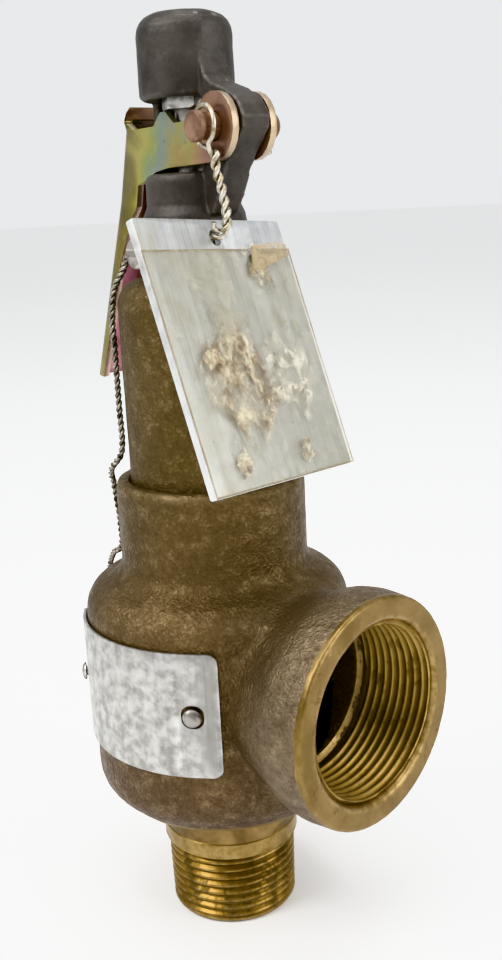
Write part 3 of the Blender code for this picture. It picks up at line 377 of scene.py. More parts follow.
class Graph:
    """A node tree being wired up, with a short call for each kind of node that the finishes use."""

    def __init__(self, tree: bpy.types.NodeTree) -> None:
        """Starts on a material's tree or a group's."""
        self.tree = tree
        self.shader = tree.nodes.get("Principled BSDF")

    def add(self, kind: str, **settings: Any) -> bpy.types.Node:
        """A new shader node with its settings."""
        node = self.tree.nodes.new("ShaderNode" + kind)
        for key, value in settings.items():
            setattr(node, key, value)
        return node

    def feed(self, socket: Socket, value: Any) -> None:
        """Links a socket into an input, or sets the input to a plain value."""
        if isinstance(value, bpy.types.NodeSocket):
            self.tree.links.new(value, socket)
        else:
            socket.default_value = value

    def place(self) -> Socket:
        """Object coordinates."""
        return self.add("TexCoord").outputs["Object"]

    def flat_place(self) -> Socket:
        """The place on the flat piece, before it was bent or hung."""
        return self.add("Attribute", attribute_name="flat_place").outputs["Vector"]

    def turned(self, at: Socket, turn: float) -> Socket:
        """Coordinates turned about Z."""
        node = self.add("Mapping")
        self.feed(node.inputs["Vector"], at)
        node.inputs["Rotation"].default_value = (0.0, 0.0, turn)
        return node.outputs["Vector"]

    def stretched(self, at: Socket, scales: Sequence[float]) -> Socket:
        """Coordinates multiplied along each axis."""
        node = self.add("VectorMath", operation="MULTIPLY")
        self.feed(node.inputs[0], at)
        node.inputs[1].default_value = scales
        return node.outputs["Vector"]

    def noise(
        self, at: Socket, scale: Any, detail: float = 3.0, rough: float = 0.55, warp: float = 0.0
    ) -> Socket:
        """Soft noise from 0 to 1, mostly near a half."""
        node = self.add("TexNoise")
        for name, value in (
            ("Vector", at), ("Scale", scale), ("Detail", detail), ("Roughness", rough), ("Distortion", warp)
        ):
            self.feed(node.inputs[name], value)
        return node.outputs["Fac"]

    def maths(self, operation: str, first: Any, second: Any = 0.0) -> Socket:
        """One sum on two numbers."""
        node = self.add("Math", operation=operation)
        self.feed(node.inputs[0], first)
        self.feed(node.inputs[1], second)
        return node.outputs[0]

    def times(self, first: Any, second: Any) -> Socket:
        """One number times another."""
        return self.maths("MULTIPLY", first, second)

    def plus(self, first: Any, second: Any) -> Socket:
        """One number added to another."""
        return self.maths("ADD", first, second)

    def remap(self, value: Any, low: float, high: float, to_low: float = 0.0, to_high: float = 1.0) -> Socket:
        """A number moved from one range to another, and held inside it."""
        node = self.add("MapRange")
        self.feed(node.inputs["Value"], value)
        for name, number in (("From Min", low), ("From Max", high), ("To Min", to_low), ("To Max", to_high)):
            node.inputs[name].default_value = number
        return node.outputs["Result"]

    def ramp(self, amount: Socket, stops: Sequence[tuple[float, Colour]]) -> Socket:
        """A colour picked from a row of stops."""
        node = self.add("ValToRGB")
        elements = node.color_ramp.elements
        while len(elements) < len(stops):
            elements.new(0.5)
        for element, (position, colour) in zip(elements, stops):
            element.position = position
            element.color = (*colour, 1.0)
        self.feed(node.inputs["Fac"], amount)
        return node.outputs["Color"]

    def mix(self, amount: Any, first: Any, second: Any) -> Socket:
        """Two colours mixed."""
        node = self.add("Mix", data_type="RGBA")
        for index, value in ((0, amount), (6, first), (7, second)):
            if isinstance(value, tuple):
                value = (*value, 1.0)
            self.feed(node.inputs[index], value)
        return node.outputs[2]

    def axes(self, at: Socket) -> tuple[Socket, Socket, Socket]:
        """The three numbers of a vector."""
        node = self.add("SeparateXYZ")
        self.feed(node.inputs[0], at)
        return tuple(node.outputs)

    def bump(self, height: Any, depth: float) -> Socket:
        """A bumped normal, depth in metres."""
        node = self.add("Bump")
        node.inputs["Distance"].default_value = depth
        self.feed(node.inputs["Height"], height)
        return node.outputs["Normal"]

    def group(self, tree: bpy.types.NodeTree, **values: Any) -> bpy.types.Node:
        """A shared effect, with its inputs given by name, underscores standing for spaces."""
        node = self.add("Group", node_tree=tree)
        for name, value in values.items():
            self.feed(node.inputs[name.replace("_", " ").capitalize()], value)
        return node

    def dress(self, **values: Any) -> None:
        """Feeds the shader's sockets by name, underscores standing for spaces."""
        for name, value in values.items():
            if isinstance(value, tuple):
                value = (*value, 1.0)
            self.feed(self.shader.inputs[name.replace("_", " ").title()], value)


def shared_effect(
    name: str,
    inputs: Sequence[tuple[str, str, Any]],
    outputs: Sequence[str],
    wire_up: Callable[[Graph, Any], Sequence[Socket]],
) -> bpy.types.NodeTree:
    """A node group that several finishes use, built once.

    Args:
        name: The group's name.
        inputs: Each input's name, kind of socket and usual value.
        outputs: The names of its outputs, which are all numbers.
        wire_up: Builds the inside from the group's inputs, and returns one socket for each output.

    Returns:
        The group's tree.
    """
    found = bpy.data.node_groups.get(name)
    if found:
        return found
    tree = bpy.data.node_groups.new(name, "ShaderNodeTree")
    for label, kind, usual in inputs:
        socket = tree.interface.new_socket(name=label, in_out="INPUT", socket_type=f"NodeSocket{kind}")
        if usual is not None:
            socket.default_value = usual
    for label in outputs:
        tree.interface.new_socket(name=label, in_out="OUTPUT", socket_type="NodeSocketFloat")
    entry = tree.nodes.new("NodeGroupInput")
    way_out = tree.nodes.new("NodeGroupOutput")
    for label, socket in zip(outputs, wire_up(Graph(tree), entry.outputs)):
        tree.links.new(socket, way_out.inputs[label])
    return tree


class Effects:
    """The shared effects, each a node group."""

    @staticmethod
    def sand_grain() -> bpy.types.NodeTree:
        """The pebbled skin that a sand mould leaves: its height, and the tips where the finishes paint
        sparkle highlights.
        """

        def wire_up(graph: Graph, given: Any) -> Sequence[Socket]:
            """Fine grains over broader unevenness."""
            fine = graph.noise(given["Place"], given["Scale"], 2.0, 0.6)
            broad = graph.noise(given["Place"], graph.times(given["Scale"], 0.28), 2.0, 0.5)
            height = graph.plus(graph.times(fine, 0.65), graph.times(broad, 0.6))
            # painted sparkle highlight: the grain's highest tips, for the finishes to paint lighter
            painted_sparkle = graph.remap(height, 0.66, 0.86)
            pits = graph.remap(height, 0.62, 0.46)
            return height, painted_sparkle, pits

        return shared_effect(
            "Sand grain", [("Place", "Vector", None), ("Scale", "Float", 1200.0)],
            ["Height", "Sparkle", "Pits"], wire_up,
        )

    @staticmethod
    def edge_wear() -> bpy.types.NodeTree:
        """Where handling has rubbed raised edges bright, and where dirt stays in hollows."""

        def wire_up(graph: Graph, given: Any) -> Sequence[Socket]:
            """Pointiness, broken up by noise."""
            point = graph.add("NewGeometry").outputs["Pointiness"]
            broken = graph.noise(given["Place"], given["Scale"], 3.0, 0.6)
            raised = graph.remap(point, 0.505, 0.56)
            hollow = graph.remap(point, 0.495, 0.44)
            worn = graph.times(raised, graph.remap(broken, 0.38, 0.62))
            return graph.times(worn, given["Amount"]), hollow

        return shared_effect(
            "Edge wear",
            [("Place", "Vector", None), ("Scale", "Float", 300.0), ("Amount", "Float", 1.0)],
            ["Worn", "Hollow"], wire_up,
        )

    @staticmethod
    def patches() -> bpy.types.NodeTree:
        """Soft-edged patches of tarnish, oil or dirt."""

        def wire_up(graph: Graph, given: Any) -> Sequence[Socket]:
            """Noise held between two levels."""
            cloud = graph.noise(given["Place"], given["Scale"], 5.0, 0.62, 0.4)
            over = graph.maths("SUBTRACT", cloud, given["Level"])
            return (graph.remap(over, 0.0, 0.12),)

        return shared_effect(
            "Patches",
            [("Place", "Vector", None), ("Scale", "Float", 80.0), ("Level", "Float", 0.5)],
            ["Mask"], wire_up,
        )

    @staticmethod
    def tool_marks() -> bpy.types.NodeTree:
        """Fine grooves that a lathe or a brush leaves across one number."""

        def wire_up(graph: Graph, given: Any) -> Sequence[Socket]:
            """Noise along one direction only, coarse and fine."""
            marks = []
            for share in (1.0, 0.27):
                node = graph.add("TexNoise", noise_dimensions="1D")
                node.inputs["Scale"].default_value = 1.0
                node.inputs["Detail"].default_value = 2.0
                spread = graph.times(graph.times(given["Across"], given["Scale"]), share)
                graph.feed(node.inputs["W"], spread)
                marks.append(node.outputs["Fac"])
            return (graph.times(graph.plus(*marks), 0.5),)

        return shared_effect(
            "Tool marks", [("Across", "Float", 0.0), ("Scale", "Float", 4000.0)], ["Height"], wire_up
        )


# ---------------------------------------------------------------- finishes


@dataclass(frozen=True)
class Finish:
    """A named finish, made as a material the first time that a piece needs it."""

    name: str

    def material(self) -> bpy.types.Material:
        """The finish's material."""
        found = bpy.data.materials.get(self.name)
        if found:
            return found
        made = bpy.data.materials.new(self.name)
        made.use_nodes = True
        self.wire_up(Graph(made.node_tree))
        return made

    def wire_up(self, graph: Graph) -> None:
        """Builds the finish's nodes."""
        raise NotImplementedError


@dataclass(frozen=True)
class CastBronze(Finish):
    """Sand-cast bronze gone brown, lighter where it is rubbed, with painted sparkle highlights on its grain
    and one machined band if asked for.
    """

    dark: Colour = (0.062, 0.040, 0.021)
    middle: Colour = (0.112, 0.074, 0.038)
    light: Colour = (0.160, 0.108, 0.054)
    sparkle_and_rub: Colour = (0.36, 0.27, 0.15)
    green: Colour = (0.082, 0.058, 0.021)
    purple: Colour = (0.088, 0.058, 0.041)
    grey: Colour = (0.140, 0.108, 0.072)
    machined: Colour = (0.20, 0.13, 0.05)
    machined_below: float = -1.0
    machined_fade: float = 0.1 * MM
    machined_relief: float = 0.15
    grain_scale: float = 1350.0
    wear_scale: float = 260.0
    wear_amount: float = 0.85
    cloud_scale: float = 48.0
    patch_scale: float = 38.0
    patch_level: float = 0.44
    patch_green: tuple[float, float] = (0.55, 0.85)
    green_heights: tuple[float, float] = (70.0 * MM, 115.0 * MM)
    purple_heights: tuple[float, float] = (62.0 * MM, 36.0 * MM)
    purple_amount: float = 0.62
    grey_reach: tuple[float, float] = (24.0 * MM, 44.0 * MM)
    grey_amount: float = 0.75
    metallic: float = 0.78
    relief: float = 0.65 * MM

    def tinted(self, graph: Graph, at: Socket) -> Socket:
        """The bronze's colour by place: greener high up, purpler low down and greyer along the outlet."""
        reach, _, height = graph.axes(at)
        cloud = graph.noise(at, self.cloud_scale, 4.0, 0.5, 0.2)
        colour = graph.ramp(cloud, [(0.30, self.dark), (0.50, self.middle), (0.72, self.light)])
        up_high = graph.remap(height, *self.green_heights)
        patchy = graph.group(Effects.patches(), place=at, scale=self.patch_scale, level=self.patch_level)
        greenish = graph.times(graph.remap(patchy.outputs["Mask"], 0.0, 1.0, *self.patch_green), up_high)
        colour = graph.mix(greenish, colour, self.green)
        down_low = graph.times(graph.remap(height, *self.purple_heights), self.purple_amount)
        colour = graph.mix(down_low, colour, self.purple)
        return graph.mix(graph.remap(reach, *self.grey_reach, 0.0, self.grey_amount), colour, self.grey)

    def wire_up(self, graph: Graph) -> None:
        """Builds the finish's nodes."""
        at = graph.place()
        height = graph.axes(at)[2]
        grain = graph.group(Effects.sand_grain(), place=at, scale=self.grain_scale).outputs
        wear = graph.group(
            Effects.edge_wear(), place=at, scale=self.wear_scale, amount=self.wear_amount
        ).outputs
        colour = self.tinted(graph, at)
        # darker grain pits and hollows; painted sparkle highlight on the grain's tips; rubbed wear on raised
        # edges, in the same colour
        for mask, amount, over in (
            (grain["Pits"], 0.5, self.dark), (grain["Sparkle"], 0.30, self.sparkle_and_rub),
            (wear["Hollow"], 0.5, self.dark), (wear["Worn"], 0.8, self.sparkle_and_rub),
        ):
            colour = graph.mix(graph.times(mask, amount), colour, over)
        bare = graph.remap(height, self.machined_below, self.machined_below - self.machined_fade)
        colour = graph.mix(bare, colour, self.machined)
        rough = graph.remap(grain["Height"], 0.45, 0.8, 0.62, 0.42)
        skin = graph.times(grain["Height"], graph.remap(bare, 0.0, 1.0, 1.0, self.machined_relief))
        graph.dress(
            base_color=colour, roughness=rough, metallic=self.metallic, normal=graph.bump(skin, self.relief)
        )


@dataclass(frozen=True)
class TurnedBrass(Finish):
    """Brass or bronze bright from the lathe, with fine rings, tarnish and oil stains."""

    turning: Turning = Turning.VALVE
    bright: Colour = (0.210, 0.142, 0.058)
    deep: Colour = (0.135, 0.088, 0.031)
    stain: Colour = (0.070, 0.042, 0.016)
    worn: Colour = (0.46, 0.34, 0.16)
    tarnish: tuple[Colour, Colour] = ((0.10, 0.068, 0.035), (0.27, 0.18, 0.08))
    tarnish_amount: float = 0.8
    tarnish_above: float = 9.0
    tarnish_fade: float = 0.3 * MM
    stain_scale: float = 210.0
    stain_level: float = 0.56
    stain_amount: float = 0.75
    streaked: bool = False
    streak: float = 0.25
    cloud_scale: float = 95.0
    wear_scale: float = 420.0
    wear_amount: float = 0.8
    hollow_amount: float = 0.8
    worn_amount: float = 0.6
    roughness: float = 0.34
    marks: float = 3200.0
    mark_relief: float = 0.035 * MM

    def wire_up(self, graph: Graph) -> None:
        """Builds the finish's nodes."""
        at = graph.place()
        across, up, along = graph.axes(at)
        if self.turning is Turning.OUTLET:
            across, along = graph.maths("SUBTRACT", along, OUTLET_HEIGHT), across
        squares = graph.plus(graph.maths("POWER", across, 2.0), graph.maths("POWER", up, 2.0))
        radius = graph.maths("SQRT", squares)
        rings = graph.group(Effects.tool_marks(), across=graph.plus(radius, along), scale=self.marks)
        cloud = graph.noise(at, self.cloud_scale, 4.0, 0.6, 0.5)
        colour = graph.ramp(cloud, [(0.36, self.deep), (0.60, self.bright)])
        stain_at = graph.stretched(at, (1.0, 1.0, self.streak)) if self.streaked else at
        blotch = graph.group(
            Effects.patches(), place=stain_at, scale=self.stain_scale, level=self.stain_level
        )
        stained = graph.times(blotch.outputs["Mask"], self.stain_amount)
        colour = graph.mix(stained, colour, self.stain)
        wear = graph.group(
            Effects.edge_wear(), place=at, scale=self.wear_scale, amount=self.wear_amount
        ).outputs
        colour = graph.mix(graph.times(wear["Hollow"], self.hollow_amount), colour, self.stain)
        colour = graph.mix(graph.times(wear["Worn"], self.worn_amount), colour, self.worn)
        above = graph.remap(along, self.tarnish_above, self.tarnish_above + self.tarnish_fade)
        dull = graph.ramp(cloud, [(0.4, self.tarnish[0]), (0.62, self.tarnish[1])])
        colour = graph.mix(graph.times(above, self.tarnish_amount), colour, dull)
        rough = graph.remap(
            graph.plus(stained, cloud), 0.4, 1.2, self.roughness - 0.05, self.roughness + 0.22
        )
        graph.dress(
            base_color=colour, roughness=rough, metallic=0.95,
            normal=graph.bump(rings.outputs["Height"], self.mark_relief),
        )


@dataclass(frozen=True)
class CastIron(Finish):
    """The cap's dark casting, satin from handling, with a faint painted sparkle on its grain."""

    dark: Colour = (0.027, 0.023, 0.019)
    light: Colour = (0.056, 0.048, 0.040)
    rubbed: Colour = (0.20, 0.175, 0.15)
    grain_scale: float = 900.0
    wear_scale: float = 380.0
    wear_amount: float = 0.5
    cloud_scale: float = 120.0
    sparkle_amount: float = 0.08
    scuff_scale: float = 900.0
    scuff_stretch: float = 0.22
    scuff_amount: float = 0.4
    metallic: float = 0.45
    relief: float = 0.16 * MM

    def wire_up(self, graph: Graph) -> None:
        """Builds the finish's nodes."""
        at = graph.place()
        grain = graph.group(Effects.sand_grain(), place=at, scale=self.grain_scale).outputs
        wear = graph.group(
            Effects.edge_wear(), place=at, scale=self.wear_scale, amount=self.wear_amount
        ).outputs
        cloud = graph.noise(at, self.cloud_scale, 4.0, 0.5, 0.3)
        colour = graph.ramp(cloud, [(0.36, self.dark), (0.66, self.light)])
        # painted sparkle highlight: the grain's tips lightened a little towards the rubbed colour
        colour = graph.mix(graph.times(grain["Sparkle"], self.sparkle_amount), colour, self.rubbed)
        scuffs = graph.noise(graph.stretched(at, (1.0, 1.0, self.scuff_stretch)), self.scuff_scale, 4.0, 0.7)
        colour = graph.mix(graph.remap(scuffs, 0.70, 0.80, 0.0, self.scuff_amount), colour, self.rubbed)
        colour = graph.mix(wear["Worn"], colour, self.rubbed)
        graph.dress(
            base_color=colour, roughness=graph.remap(cloud, 0.3, 0.7, 0.46, 0.58),
            metallic=self.metallic, normal=graph.bump(grain["Height"], self.relief),
        )


@dataclass(frozen=True)
class YellowZinc(Finish):
    """Yellow passivated zinc, whose thin film shifts through olive, green, blue and pink."""

    edge: bool = False
    stops: tuple[tuple[float, Colour], ...] = (
        (0.00, (0.120, 0.096, 0.030)),
        (0.14, (0.190, 0.160, 0.045)),
        (0.27, (0.360, 0.320, 0.090)),
        (0.40, (0.260, 0.300, 0.110)),
        (0.53, (0.220, 0.265, 0.235)),
        (0.66, (0.300, 0.275, 0.105)),
        (0.78, (0.330, 0.240, 0.105)),
        (0.90, (0.290, 0.180, 0.115)),
        (1.00, (0.230, 0.135, 0.105)),
    )
    inner: tuple[Colour, Colour, Colour] = ((0.36, 0.19, 0.12), (0.22, 0.085, 0.110), (0.46, 0.2, 0.24))
    cut: Colour = (0.52, 0.47, 0.33)
    shadow: Colour = (0.03, 0.02, 0.014)
    spot: Colour = (0.10, 0.06, 0.035)
    span: tuple[float, float] = (-23.0 * MM, 17.0 * MM)
    wing: tuple[float, float] = (-17.0 * MM, -8.0 * MM)
    low_edge: tuple[float, float] = (193.5 * MM, 188.0 * MM)
    strip: tuple[float, float] = (-12.0 * MM, -16.0 * MM)
    strip_top: tuple[float, float] = (191.0 * MM, 197.0 * MM)
    inward: tuple[float, float, float] = (0.93, 0.0, -0.37)
    drift_scale: float = 70.0
    rub_scale: float = 700.0
    spot_scale: float = 420.0
    relief: float = 0.03 * MM

    def purple_inside(
        self, graph: Graph, along: Socket, height: Socket, drift: Socket, over: Socket
    ) -> Socket:
        """The inner face of the long strip, purple and darker towards its shaded top.

        Args:
            graph: The material's nodes.
            along: The place along the lever.
            height: The height.
            drift: The slow noise that the film's colour follows.
            over: The colour so far.

        Returns:
            The colour with the strip's inner face added.
        """
        facing = graph.add("VectorMath", operation="DOT_PRODUCT")
        graph.feed(facing.inputs[0], graph.add("TexCoord").outputs["Normal"])
        facing.inputs[1].default_value = CAP_PLACE.to_3x3() @ Vector(self.inward)
        inside = graph.times(
            graph.remap(facing.outputs["Value"], 0.45, 0.85), graph.remap(along, *self.strip)
        )
        purple = graph.ramp(drift, list(zip((0.38, 0.5, 0.62), self.inner)))
        colour = graph.mix(inside, over, purple)
        return graph.mix(graph.times(inside, graph.remap(height, *self.strip_top)), colour, self.shadow)

    def wire_up(self, graph: Graph) -> None:
        """Builds the finish's nodes."""
        at = graph.turned(graph.place(), -CAP_TURN)
        along, _, height = graph.axes(at)
        drift = graph.noise(at, self.drift_scale, 3.0, 0.5, 0.6)
        shift = graph.remap(along, *self.span, 0.06, 0.94)
        low = graph.times(graph.remap(height, *self.low_edge, 0.0, 0.16), graph.remap(along, *self.wing))
        shift = graph.plus(graph.plus(shift, low), graph.remap(drift, 0.3, 0.7, -0.11, 0.11))
        colour = self.purple_inside(graph, along, height, drift, graph.ramp(shift, self.stops))
        rub = graph.noise(graph.stretched(at, (1.0, 1.0, 0.3)), self.rub_scale, 4.0, 0.7)
        colour = graph.mix(graph.remap(rub, 0.60, 0.78, 0.0, 0.4), colour, self.cut)
        if self.edge:
            colour = graph.mix(0.45, colour, self.cut)
        spots = graph.group(Effects.patches(), place=at, scale=self.spot_scale, level=0.62)
        colour = graph.mix(graph.times(spots.outputs["Mask"], 0.55), colour, self.spot)
        graph.dress(
            base_color=colour, metallic=0.82, roughness=graph.remap(rub, 0.3, 0.7, 0.27, 0.42),
            normal=graph.bump(rub, self.relief),
        )


@dataclass(frozen=True)
class BrushedSheet(Finish):
    """Aluminium sheet: mill lines along one way, broad streaks of painted reflection, stains, scuffs and
    specks.
    """

    base: Colour = (0.52, 0.53, 0.53)
    shade: Colour = (0.36, 0.37, 0.37)
    stain: Colour = (0.40, 0.36, 0.24)
    speck: Colour = (0.10, 0.09, 0.08)
    worn: Colour = (0.86, 0.86, 0.84)
    # how much lighter the lightest stop, for mill lines and painted reflection, is than the base
    lift: float = 1.14
    stain_scale: float = 48.0
    stain_level: float = 0.52
    stain_amount: float = 0.45
    speck_scale: float = 900.0
    speck_level: float = 0.67
    speck_amount: float = 0.6
    wear_scale: float = 300.0
    wear_amount: float = 0.5
    line_scale: float = 1500.0
    line_stretch: float = 0.018
    reflection_scale: float = 170.0
    reflection_stretch: float = 0.05
    scuff_scale: float = 260.0
    metallic: float = 0.85
    roughness: float = 0.34
    relief: float = 0.03

    def wire_up(self, graph: Graph) -> None:
        """Builds the finish's nodes."""
        at = graph.flat_place()
        lines = graph.noise(graph.stretched(at, (1.0, 1.0, self.line_stretch)), self.line_scale, 4.0, 0.75)
        # painted reflection: broad stretched streaks, lighter and darker like cloudy reflections
        broad = graph.noise(graph.stretched(at, (1.0, 1.0, self.reflection_stretch)), self.reflection_scale, 3.0, 0.6)
        light = tuple(min(1.0, part * self.lift) for part in self.base)
        # mill lines and the painted reflection run the colour from the shade stop to a lighter copy of the
        # base
        colour = graph.ramp(
            graph.times(graph.plus(lines, broad), 0.5), [(0.40, self.shade), (0.50, self.base), (0.62, light)]
        )
        for scale, level, amount, over in (
            (self.stain_scale, self.stain_level, self.stain_amount, self.stain),
            (self.speck_scale, self.speck_level, self.speck_amount, self.speck),
        ):
            marks = graph.group(Effects.patches(), place=at, scale=scale, level=level)
            colour = graph.mix(graph.times(marks.outputs["Mask"], amount), colour, over)
        wear = graph.group(Effects.edge_wear(), place=at, scale=self.wear_scale, amount=self.wear_amount)
        colour = graph.mix(wear.outputs["Worn"], colour, self.worn)
        scuff = graph.noise(at, self.scuff_scale, 5.0, 0.7, 1.2)
        graph.dress(
            base_color=colour, metallic=self.metallic,
            roughness=graph.remap(scuff, 0.3, 0.7, self.roughness - 0.08, self.roughness + 0.14),
            normal=graph.bump(graph.plus(lines, graph.times(scuff, 0.8)), self.relief * MM),
        )


@dataclass(frozen=True)
class ClearFilm(Finish):
    """Old clear film, yellowed, creased and cloudy in places, and brown along its rim."""

    clear: Colour = (0.36, 0.33, 0.22)
    clouded: Colour = (0.46, 0.44, 0.35)
    rim_colour: Colour = (0.20, 0.145, 0.07)
    crease_scale: float = 210.0
    crease_stretch: float = 0.35
    cloud_scale: float = 75.0
    side_rim: tuple[float, float] = (23.9 * MM, 24.2 * MM)
    top_rim: tuple[float, float] = (-3.3 * MM, -3.0 * MM)
    low_rim: tuple[float, float] = (-54.0 * MM, -54.3 * MM)
    relief: float = 0.12 * MM

    def wire_up(self, graph: Graph) -> None:
        """Builds the finish's nodes."""
        at = graph.flat_place()
        stretched = graph.stretched(at, (1.0, 1.0, self.crease_stretch))
        creases = graph.noise(stretched, self.crease_scale, 5.0, 0.68, 1.4)
        cloudy = graph.group(Effects.patches(), place=at, scale=self.cloud_scale, level=0.50).outputs["Mask"]
        veil = graph.remap(cloudy, 0.0, 1.0, 0.16, 0.30)
        sharp = graph.remap(creases, 0.62, 0.70, 0.0, 0.25)
        across, _, up = graph.axes(at)
        sides = graph.remap(graph.maths("ABSOLUTE", across), *self.side_rim)
        ends = graph.maths("MAXIMUM", graph.remap(up, *self.top_rim), graph.remap(up, *self.low_rim))
        rim = graph.times(graph.maths("MAXIMUM", sides, ends), graph.remap(creases, 0.35, 0.55, 0.4, 0.9))
        colour = graph.mix(rim, graph.mix(cloudy, self.clear, self.clouded), self.rim_colour)
        graph.dress(
            base_color=colour, alpha=graph.plus(graph.plus(veil, sharp), graph.times(rim, 0.5)),
            metallic=0.0, roughness=graph.remap(creases, 0.3, 0.7, 0.10, 0.30),
            normal=graph.bump(creases, self.relief),
        )


@dataclass(frozen=True)
class OldGlue(Finish):
    """Crinkled remains of a glued paper label, ragged and partly gone."""

    pale: Colour = (0.56, 0.51, 0.37)
    tan: Colour = (0.24, 0.168, 0.085)
    dark: Colour = (0.085, 0.055, 0.03)
    cover: float = 0.5
    lace_scale: float = 330.0
    cloud_scale: float = 130.0
    tint_scale: float = 85.0
    tint_amount: float = 0.65
    relief: float = 0.6 * MM

    def wire_up(self, graph: Graph) -> None:
        """Builds the finish's nodes."""
        at = graph.flat_place()
        lace = graph.noise(at, self.lace_scale, 5.0, 0.66, 0.7)
        cloud = graph.noise(at, self.cloud_scale, 5.0, 0.66, 0.8)
        tint = graph.remap(graph.noise(at, self.tint_scale, 3.0, 0.55, 0.4), 0.44, 0.58)
        # the lace's highest crinkles turn pale: partly the glue's own pale wisps, partly a painted highlight
        # on the crinkles
        colour = graph.ramp(lace, [(0.34, self.dark), (0.47, self.tan), (0.62, self.pale)])
        colour = graph.mix(graph.times(tint, self.tint_amount), colour, self.pale)
        rim = graph.add("Attribute", attribute_name="rim").outputs["Fac"]
        kept = graph.remap(graph.plus(rim, graph.times(cloud, 0.9)), 1.28, 1.12)
        solid = graph.remap(cloud, 0.58 - 0.2 * self.cover, 0.80 - 0.2 * self.cover, 0.14, 0.86)
        graph.dress(
            base_color=colour, alpha=graph.times(solid, kept), metallic=0.0,
            roughness=graph.remap(lace, 0.3, 0.7, 0.2, 0.5), normal=graph.bump(lace, self.relief),
        )


@dataclass(frozen=True)
class PlainMetal(Finish):
    """A small steel, bronze or lead piece: one metal, clouded, with darker hollows and rubbed edges."""

    base: Colour = (0.42, 0.41, 0.38)
    shade: Colour = (0.20, 0.19, 0.17)
    rubbed: Colour = (0.66, 0.64, 0.60)
    metallic: float = 0.92
    roughness: float = 0.36
    scale: float = 420.0
    fine_share: float = 5.0
    wear_amount: float = 0.8
    hollow_amount: float = 0.6
    depth: float = 0.03

    def wire_up(self, graph: Graph) -> None:
        """Builds the finish's nodes."""
        at = graph.place()
        cloud = graph.noise(at, self.scale, 4.0, 0.62, 0.5)
        fine = graph.noise(at, self.scale * self.fine_share, 2.0, 0.6)
        wear = graph.group(
            Effects.edge_wear(), place=at, scale=self.scale, amount=self.wear_amount
        ).outputs
        colour = graph.ramp(cloud, [(0.36, self.shade), (0.58, self.base)])
        colour = graph.mix(graph.times(wear["Hollow"], self.hollow_amount), colour, self.shade)
        colour = graph.mix(wear["Worn"], colour, self.rubbed)
        graph.dress(
            base_color=colour, metallic=self.metallic,
            roughness=graph.remap(cloud, 0.3, 0.7, self.roughness + 0.12, self.roughness - 0.06),
            normal=graph.bump(graph.plus(cloud, fine), self.depth * MM),
        )


@dataclass(frozen=True)
class PaleFloor(Finish):
    """A plain pale floor."""

    base: Colour = (0.92, 0.92, 0.915)
    roughness: float = 0.75

    def wire_up(self, graph: Graph) -> None:
        """Builds the finish's nodes."""
        graph.dress(base_color=self.base, roughness=self.roughness)


BRIGHT_STEEL = PlainMetal("bright_steel")
DULL_STEEL = PlainMetal("dull_steel", base=(0.30, 0.28, 0.24), shade=(0.12, 0.10, 0.08), roughness=0.45)
TRIM_BRASS = TurnedBrass("trim_brass")


# ---------------------------------------------------------------- sub-assemblies


@dataclass(frozen=True)
class Made:
    """A modelled piece, with what it takes to dress it and hang it."""

    piece: Piece
    finish: Finish
    slot: Slot
    nodes: tuple[str, ...] = ()
    body: str = "valve"


class SubAssembly:
    """One part of the valve, modelled and then dressed."""

    def build(self) -> list[Made]:
        """Models the pieces, each in its place."""
        raise NotImplementedError

    def dress(self, made: Sequence[Made]) -> None:
        """Gives each piece its finish and its body."""
        for one in made:
            settle(one.piece, one.body, one.finish, one.slot, *one.nodes)


def threaded(
    name: str, points: Sequence[Point], low: float, high: float, wall: float, taper: float = 0.0
) -> Piece:
    """A screw thread about Z, cut off square at both ends.

    Args:
        name: The piece's name.
        points: Radius and height of one ridge, over exactly one pitch.
        low: The height of its lower end.
        high: The height of its upper end.
        wall: Its thickness, positive away from the axis and negative towards it.
        taper: How far the radius grows for each metre up.

    Returns:
        A closed thin-walled piece.
    """
    pitch = points[-1][1] - points[0][1]
    turns = math.ceil((high - low) / pitch) + 3
    obj = primitive("plane", name, size=1.0)
    with editing(obj):
        pick(obj, "verts", lambda vertex: vertex.index > 0)
        bpy.ops.mesh.delete(type="VERT")
        bpy.ops.mesh.select_all(action="SELECT")
        start = Vector((points[0][0], 0.0, low - 2.0 * pitch))
        bpy.ops.transform.translate(value=start - bmesh.from_edit_mesh(obj.data).verts[:][0].co)
        for (radius, height), (next_radius, next_height) in zip(points, points[1:]):
            bpy.ops.mesh.extrude_vertices_move(
                TRANSFORM_OT_translate={"value": (next_radius - radius, 0.0, next_height - height)}
            )
    modify(
        obj, "SCREW", axis="Z", angle=2.0 * math.pi, screw_offset=pitch, iterations=turns, steps=96,
        render_steps=96, use_merge_vertices=True, merge_threshold=0.01 * MM,
    )
    face_out(obj, 0.01 * MM)
    with editing(obj):
        for height, upper in ((low, False), (high, True)):
            bpy.ops.mesh.select_all(action="SELECT")
            bpy.ops.mesh.bisect(
                plane_co=(0.0, 0.0, height), plane_no=(0.0, 0.0, 1.0),
                clear_outer=upper, clear_inner=not upper,
            )
    outward = sum(face.normal.xy.dot(face.center.xy) for face in obj.data.polygons)
    if outward < 0.0:
        with editing(obj):
            bpy.ops.mesh.select_all(action="SELECT")
            bpy.ops.mesh.flip_normals()
    for vertex in obj.data.vertices:
        share = 1.0 + taper * (vertex.co.z - high) / Vector(vertex.co.xy).length
        vertex.co.xy = vertex.co.xy * share
    modify(obj, "SOLIDIFY", thickness=abs(wall), offset=math.copysign(1.0, wall))
    return smooth(obj, 50.0)


def ridge(crest: float, root: float, count: int = 5) -> list[Point]:
    """One rounded ridge of a worn pipe thread, over one pitch."""
    points = []
    for i in range(2 * count + 1):
        turn = 2.0 * math.pi * i / (2 * count)
        swell = 0.5 - 0.5 * math.cos(turn)
        points.append((root + (crest - root) * swell**0.8, PIPE_PITCH * i / (2 * count)))
    return points


